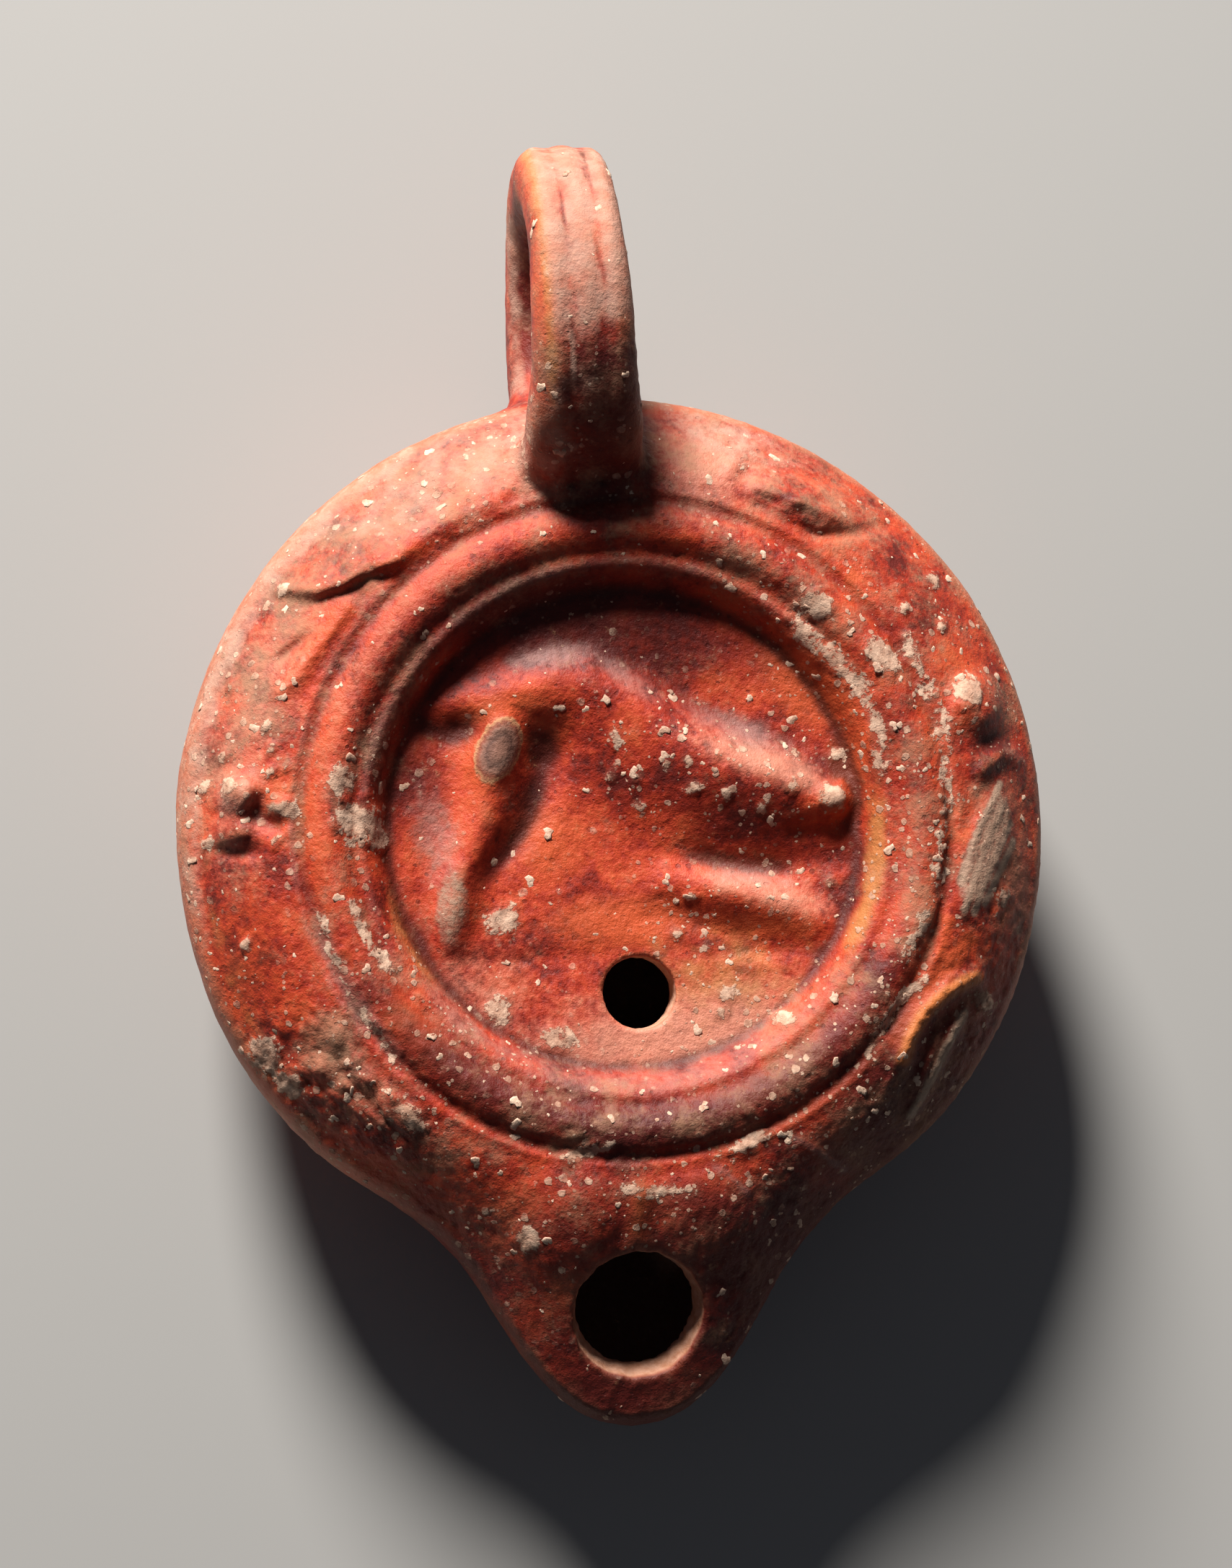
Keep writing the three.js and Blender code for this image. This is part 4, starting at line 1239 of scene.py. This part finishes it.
# Lit orange, pale highlight and lit ochre are painted light laid over the slip; thinned slip is wear.
painted_light_share = fit(ragged(field("lit_orange"), blotch, 0.9, speckle, 0.6), 0.15, 0.95, 0, 0.75)
thinned = fit(ragged(field("worn"), blotch, 1.0), 0.2, 1.0, 0, 0.7)
paled_and_lit = fit(ragged(field("pale_slip_and_light"), blotch, 0.9, speckle, 0.8), 0.15, 1.0, 0, 0.8)
yellowed_and_lit = fit(ragged(field("ochre_and_light"), blotch, 1.3), 0.3, 1.1, 0, 0.75)
for share, tint in ((painted_light_share, LIT_SLIP), (thinned, THIN_SLIP), (paled_and_lit, PALE_SLIP_LIGHT), (yellowed_and_lit, OCHRE_LIGHT)):
    surface = lay_over(share, surface, tint)
rubbed = fit(ragged(field("worn"), speckle, 1.4, blotch, 1.0), 0.9, 1.35, 0, 0.7)
rubbed = calculate("MAXIMUM", rubbed, field("bare"))
surface = lay_over(rubbed, surface, ramp(speckle, [(0.35, BUFF), (0.62, PALE_BUFF)]))
print("with the bare clay", len(tree.nodes), "nodes")

# %% Soot, dirt and chalk, with painted shade, sheen and light
# Soot and grime carry painted shade as well as soot and dirt, haze carries painted sheen, and dust and chalk
# carry painted light as well as dust and chalk.
SOOT_SHADE_RED, SOOT_SHADE_BROWN = colour(0.080, 0.010, 0.008), colour(0.085, 0.026, 0.018)
CHALK_LIGHT, CHALK_LIGHT_PINK = colour(0.46, 0.27, 0.20), colour(0.45, 0.225, 0.155)
DIRT_AND_SHADE, HAZE_SHEEN, DUST_LIGHT = colour(0.035, 0.007, 0.005), colour(0.32, 0.18, 0.155), colour(0.37, 0.20, 0.115)

drift, banks = cloud(1.3, 7, 0.72, 11.0), cloud(4.2, 5, 0.6, 12.0)
soot_and_shade = fit(ragged(field("soot_and_shade"), blotch, 0.7, speckle, 0.4), 0.05, 0.95, 0, 0.88)
soot_shade_tone = lay_over(fit(mottle, 0.5, 0.62), SOOT_SHADE_RED, SOOT_SHADE_BROWN)
dirt_and_shade = fit(ragged(field("grime_and_shade"), speckle, 0.9), 0.15, 1.0, 0, 0.8)
film_and_sheen = fit(ragged(field("haze_and_sheen"), blotch, 0.9, speckle, 0.9), 0.25, 1.1, 0, 0.6)
settled_and_lit = fit(ragged(field("dusty_and_lit"), drift, 1.7, grit, 0.9, banks, 2.6), 0.25, 1.3, 0, 0.66)
chalk_and_light_share = fit(ragged(field("chalk_and_light"), blotch, 1.1, speckle, 0.7), 0.3, 1.1, 0, 0.8)
chalk_light_tone = lay_over(fit(blotch, 0.4, 0.6), CHALK_LIGHT_PINK, CHALK_LIGHT)
for share, tint in ((soot_and_shade, soot_shade_tone), (dirt_and_shade, DIRT_AND_SHADE), (film_and_sheen, HAZE_SHEEN), (settled_and_lit, DUST_LIGHT), (chalk_and_light_share, chalk_light_tone)):
    surface = lay_over(share, surface, tint)
print("with soot, dirt and chalk", len(tree.nodes), "nodes")

# %% Lime crust, flecks and the painted lit crescent
LIT_CRESCENT, LIME_PALE = colour(0.64, 0.20, 0.055), colour(0.68, 0.47, 0.34)
FEATHER_DARK, FEATHER_PALE = colour(0.25, 0.135, 0.09), colour(0.44, 0.30, 0.21)
LIME_BROWN, LIME_GREY = colour(0.27, 0.13, 0.077), colour(0.46, 0.27, 0.185)
SKIN_EDGE, SKIN_RED = colour(0.52, 0.27, 0.13), colour(0.24, 0.07, 0.04)
SKIN_BUFF, SKIN_GREY = colour(0.23, 0.12, 0.085), colour(0.08, 0.05, 0.038)
SKIN_TONES = [(0.10, SKIN_EDGE), (0.24, SKIN_RED), (0.42, SKIN_BUFF), (0.60, SKIN_GREY), (0.9, SKIN_BUFF)]

# The crescent colour is painted light on a lit leaf edge and the heart's spur.
lit_crescent = fit(ragged(field("lit_crescent"), speckle, 0.4), 0.15, 1.0, 0, 0.85)
plume = ragged(field("feather"), speckle, 0.7, grit, 0.4)
plume_share = fit(plume, 0.25, 0.75, 0, 0.9)
plume_tone = ramp(plume, [(0.4, FEATHER_DARK), (0.9, FEATHER_PALE)])
skin_share = fit(ragged(field("grey_skin"), speckle, 0.3, blotch, 0.2), 0.04, 0.14, 0, 0.92)
skin_tone = ramp(ragged(field("grey_skin"), grit, 0.3, speckle, 0.3), SKIN_TONES)
veil = fit(ragged(field("lime"), blotch, 1.5), 0.2, 1.2, 0, 0.5)
lime_share = fit(ragged(field("lime"), speckle, 1.8, blotch, 1.6), 0.60, 0.74, 0, 0.92)
lime_tone = ramp(ragged(blotch, speckle, 0.9), [(0.28, LIME_BROWN), (0.48, LIME_GREY), (0.72, LIME_PALE)])
small_flecks = calculate("MAXIMUM", specks(1.15, 0.10, 0.45, 0.5, 2.0), specks(0.55, 0.06, 0.2, 0.35, 4.0))
fleck_share = calculate("MULTIPLY", small_flecks, fit(ragged(field("flecked"), blotch, 1.6), 0.2, 0.7))
fleck_cover = calculate("MULTIPLY", fleck_share, 0.8)
for share, tint in ((lit_crescent, LIT_CRESCENT), (plume_share, plume_tone), (skin_share, skin_tone),
                    (veil, LIME_BROWN), (lime_share, lime_tone), (fleck_cover, lime_tone)):
    surface = lay_over(share, surface, tint)
plug(shader.inputs["Base Color"], surface)
print("with the lime", len(tree.nodes), "nodes")

# %% Gloss and fine relief
crusted = calculate("MAXIMUM", fleck_share, calculate("MULTIPLY", skin_share, 0.4))
crusted = calculate("MAXIMUM", lime_share, crusted)
matt = calculate("MAXIMUM", calculate("MAXIMUM", rubbed, crusted), calculate("MAXIMUM", chalk_and_light_share, settled_and_lit))
plug(shader.inputs["Roughness"], fit(ragged(matt, speckle, 0.6), 0, 1, 0.52, 0.9))
plug(shader.inputs["Specular IOR Level"], 0.32)
thickness = calculate("MULTIPLY", crusted, 0.07)
for layer, lift in ((rubbed, -0.03), (drift, 0.05), (speckle, 0.19), (pinholes, -0.05), (grit, 0.13)):
    thickness = calculate("MULTIPLY_ADD", layer, lift, thickness)
raise_surface(thickness, 0.8)

lamp.data.materials.clear()
lamp.data.materials.append(clay)
for face in lamp.data.polygons:
    face.use_smooth = True
    face.material_index = 0
print("material with", len(tree.nodes), "nodes")

# %% [markdown]
# ## Flecks of lime
#
# Lime also sits on the lamp in hundreds of small raised flakes. They are one shape repeated, so
# Geometry Nodes scatter them: points fall on the lamp where it is marked as flecked, each point takes
# one of a few flakes, turned and sized at random from a fixed seed, and lies flat on the clay.

# %% A few flakes
FLAKE_CORNERS, FLAKE_KINDS, FLAKE_DEPTH = 9, 5, -0.12
FLAKE_SECTION = [(0.9, FLAKE_DEPTH), (1.0, -0.02), (0.75, 0.03)]


def flake(name, seed):
    turn = directions(FLAKE_CORNERS)
    rim = 0.5 + 0.14 * np.sin(seed * 3.1 + 2 * turn) + 0.09 * np.cos(seed * 1.7 + 3 * turn + 1)
    rim = rim + 0.05 * np.sin(4 * turn + seed)
    loops = [columns(*polar(turn, rim * share), height) for share, height in FLAKE_SECTION]
    peak = np.array([[0.05, 0.03, 0.045 - 0.01 * seed]])
    thing = mesh_object(name, *stitch([middle_point(FLAKE_DEPTH), *loops, peak]))
    for face in thing.data.polygons:
        face.use_smooth = True
    bpy.context.scene.collection.objects.unlink(thing)
    flakes.objects.link(thing)


flakes = bpy.data.collections.new("flakes")
for seed in range(FLAKE_KINDS):
    flake(f"flake_{seed}", seed)

# %% Lime for the flakes
lime_stone = start_material("lime_flakes")
flake_tone = ragged(cloud(3.0, 5, 0.6, 6.0), cloud(0.4, 4, 0.6, 8.0), 0.6)
flake_colour = ramp(flake_tone, [(0.28, LIME_BROWN), (0.42, LIME_GREY), (0.58, LIME_PALE)])
plug(shader.inputs["Base Color"], flake_colour)
plug(shader.inputs["Roughness"], 0.8)
raise_surface(calculate("MULTIPLY", cloud(0.3, 4, 0.6, 9.0), 0.12))

# %% The scattering tree
LEAST_TURN, MOST_TURN = (-0.15, -0.15, 0), (0.15, 0.15, 6.28)

scatter = bpy.data.node_groups.new("scatter_flakes", "GeometryNodeTree")
sockets = {}
for name, kind in (("Lamp", "Geometry"), ("Flakes", "Collection"), ("Flakes per square metre", "Float"),
                   ("Smallest", "Float"), ("Largest", "Float"), ("Lime", "Material"), ("Seed", "Int")):
    sockets[name] = scatter.interface.new_socket(name, in_out="INPUT", socket_type="NodeSocket" + kind)
scatter.interface.new_socket("Flakes", in_out="OUTPUT", socket_type="NodeSocketGeometry")
tree = scatter
given = add_node("NodeGroupInput").outputs
marked_share = add_node("GeometryNodeInputNamedAttribute", {"Name": "flecked"}, data_type="FLOAT").outputs[0]
density = calculate("MULTIPLY", marked_share, given["Flakes per square metre"])
spread = add_node("GeometryNodeDistributePointsOnFaces",
                  {"Mesh": given["Lamp"], "Density": density, "Seed": given["Seed"]})
choice = add_node("GeometryNodeCollectionInfo", {"Collection": given["Flakes"], "Separate Children": True,
                                                 "Reset Children": True})
spin = add_node("FunctionNodeRandomValue", {0: LEAST_TURN, 1: MOST_TURN}, data_type="FLOAT_VECTOR")
turned = add_node("FunctionNodeEulerToRotation", {0: spin.outputs[0]})
lay_flat = add_node("FunctionNodeRotateRotation", {0: spread.outputs["Rotation"], 1: turned.outputs[0]},
                    rotation_space="LOCAL")
luck = add_node("FunctionNodeRandomValue", data_type="FLOAT")
size = add_node("ShaderNodeMapRange", {"Value": calculate("POWER", luck.outputs[1], 3.0),
                                       "To Min": given["Smallest"], "To Max": given["Largest"]})
place = add_node("GeometryNodeInstanceOnPoints",
                 {"Points": spread.outputs["Points"], "Instance": choice.outputs[0], "Pick Instance": True,
                  "Rotation": lay_flat.outputs[0], "Scale": size.outputs["Result"]})
real = add_node("GeometryNodeRealizeInstances", {0: place.outputs[0]})
finished = add_node("GeometryNodeSetMaterial", {"Geometry": real.outputs[0], "Material": given["Lime"]})
add_node("NodeGroupOutput", {0: finished.outputs[0]})
print("scattering tree of", len(tree.nodes), "nodes")

# %% Scatter the flakes and keep the mesh
flecks = bpy.data.objects.new("lime_flecks", lamp.data.copy())
bpy.context.scene.collection.objects.link(flecks)
scattering = flecks.modifiers.new("scatter", "NODES")
scattering.node_group = scatter
for name, value in (("Flakes", flakes), ("Flakes per square metre", 2.4e5), ("Smallest", 0.22),
                    ("Largest", 1.15), ("Lime", lime_stone), ("Seed", 5)):
    scattering[sockets[name].identifier] = value
scattered = bpy.data.meshes.new_from_object(flecks.evaluated_get(bpy.context.evaluated_depsgraph_get()))
flecks.modifiers.remove(scattering)
flecks.data = scattered
for thing in list(flakes.objects):
    bpy.data.objects.remove(thing)
print("scattered flakes:", len(flecks.data.polygons), "faces")

# %% [markdown]
# ## Floor and light
#
# A low light from the upper left rakes the relief, so the far wall of the discus throws its shadow in
# and the near side shines. A weak sky fills the shadows just enough to keep them readable.

# %% Floor, key and sky
FLOOR_SIZE = 5
FLOOR_COLOUR, FLOOR_ROUGHNESS = colour(0.40, 0.395, 0.38), 0.9
KEY_PLACE, KEY_AIM = Vector((-0.26, 0.82, 0.44)), Vector((0, 0, 0.015))
KEY_SIZE, KEY_POWER, KEY_SPREAD, KEY_TINT = 0.29, 6.2, math.radians(90), (1.0, 0.96, 0.92)
SKY_TINT, SKY_STRENGTH = colour(0.8, 0.85, 1.0), 0.06

corners = ((-1, -1, 0), (1, -1, 0), (1, 1, 0), (-1, 1, 0))
floor = mesh_object("floor", np.array(corners) * FLOOR_SIZE / MM, [(0, 1, 2, 3)])
paper = bpy.data.materials.new("pale_paper")
paper.use_nodes = True
paper_shader = paper.node_tree.nodes["Principled BSDF"]
paper_shader.inputs["Base Color"].default_value = FLOOR_COLOUR
paper_shader.inputs["Roughness"].default_value = FLOOR_ROUGHNESS
floor.data.materials.append(paper)

light = bpy.data.lights.new("key", "AREA")
light.shape, light.size, light.energy, light.color = "DISK", KEY_SIZE, KEY_POWER, KEY_TINT
light.spread = KEY_SPREAD
key = bpy.data.objects.new("key", light)
bpy.context.scene.collection.objects.link(key)
key.location = KEY_PLACE
key.rotation_euler = (KEY_AIM - KEY_PLACE).to_track_quat("-Z", "Y").to_euler()

world = bpy.data.worlds.new("sky")
world.use_nodes = True
sky = world.node_tree.nodes["Background"]
sky.inputs["Color"].default_value = SKY_TINT
sky.inputs["Strength"].default_value = SKY_STRENGTH
bpy.context.scene.world = world
bpy.context.scene.view_settings.view_transform = "Standard"

# %% [markdown]
# ## Put the lamp in place of the solid
#
# The finished mesh stands for the imported solid, which stays behind it for collisions.

# %% Finish
lamp.name = "slipped_lamp"
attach(lamp, "root")
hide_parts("lamp")
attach(flecks, "root")
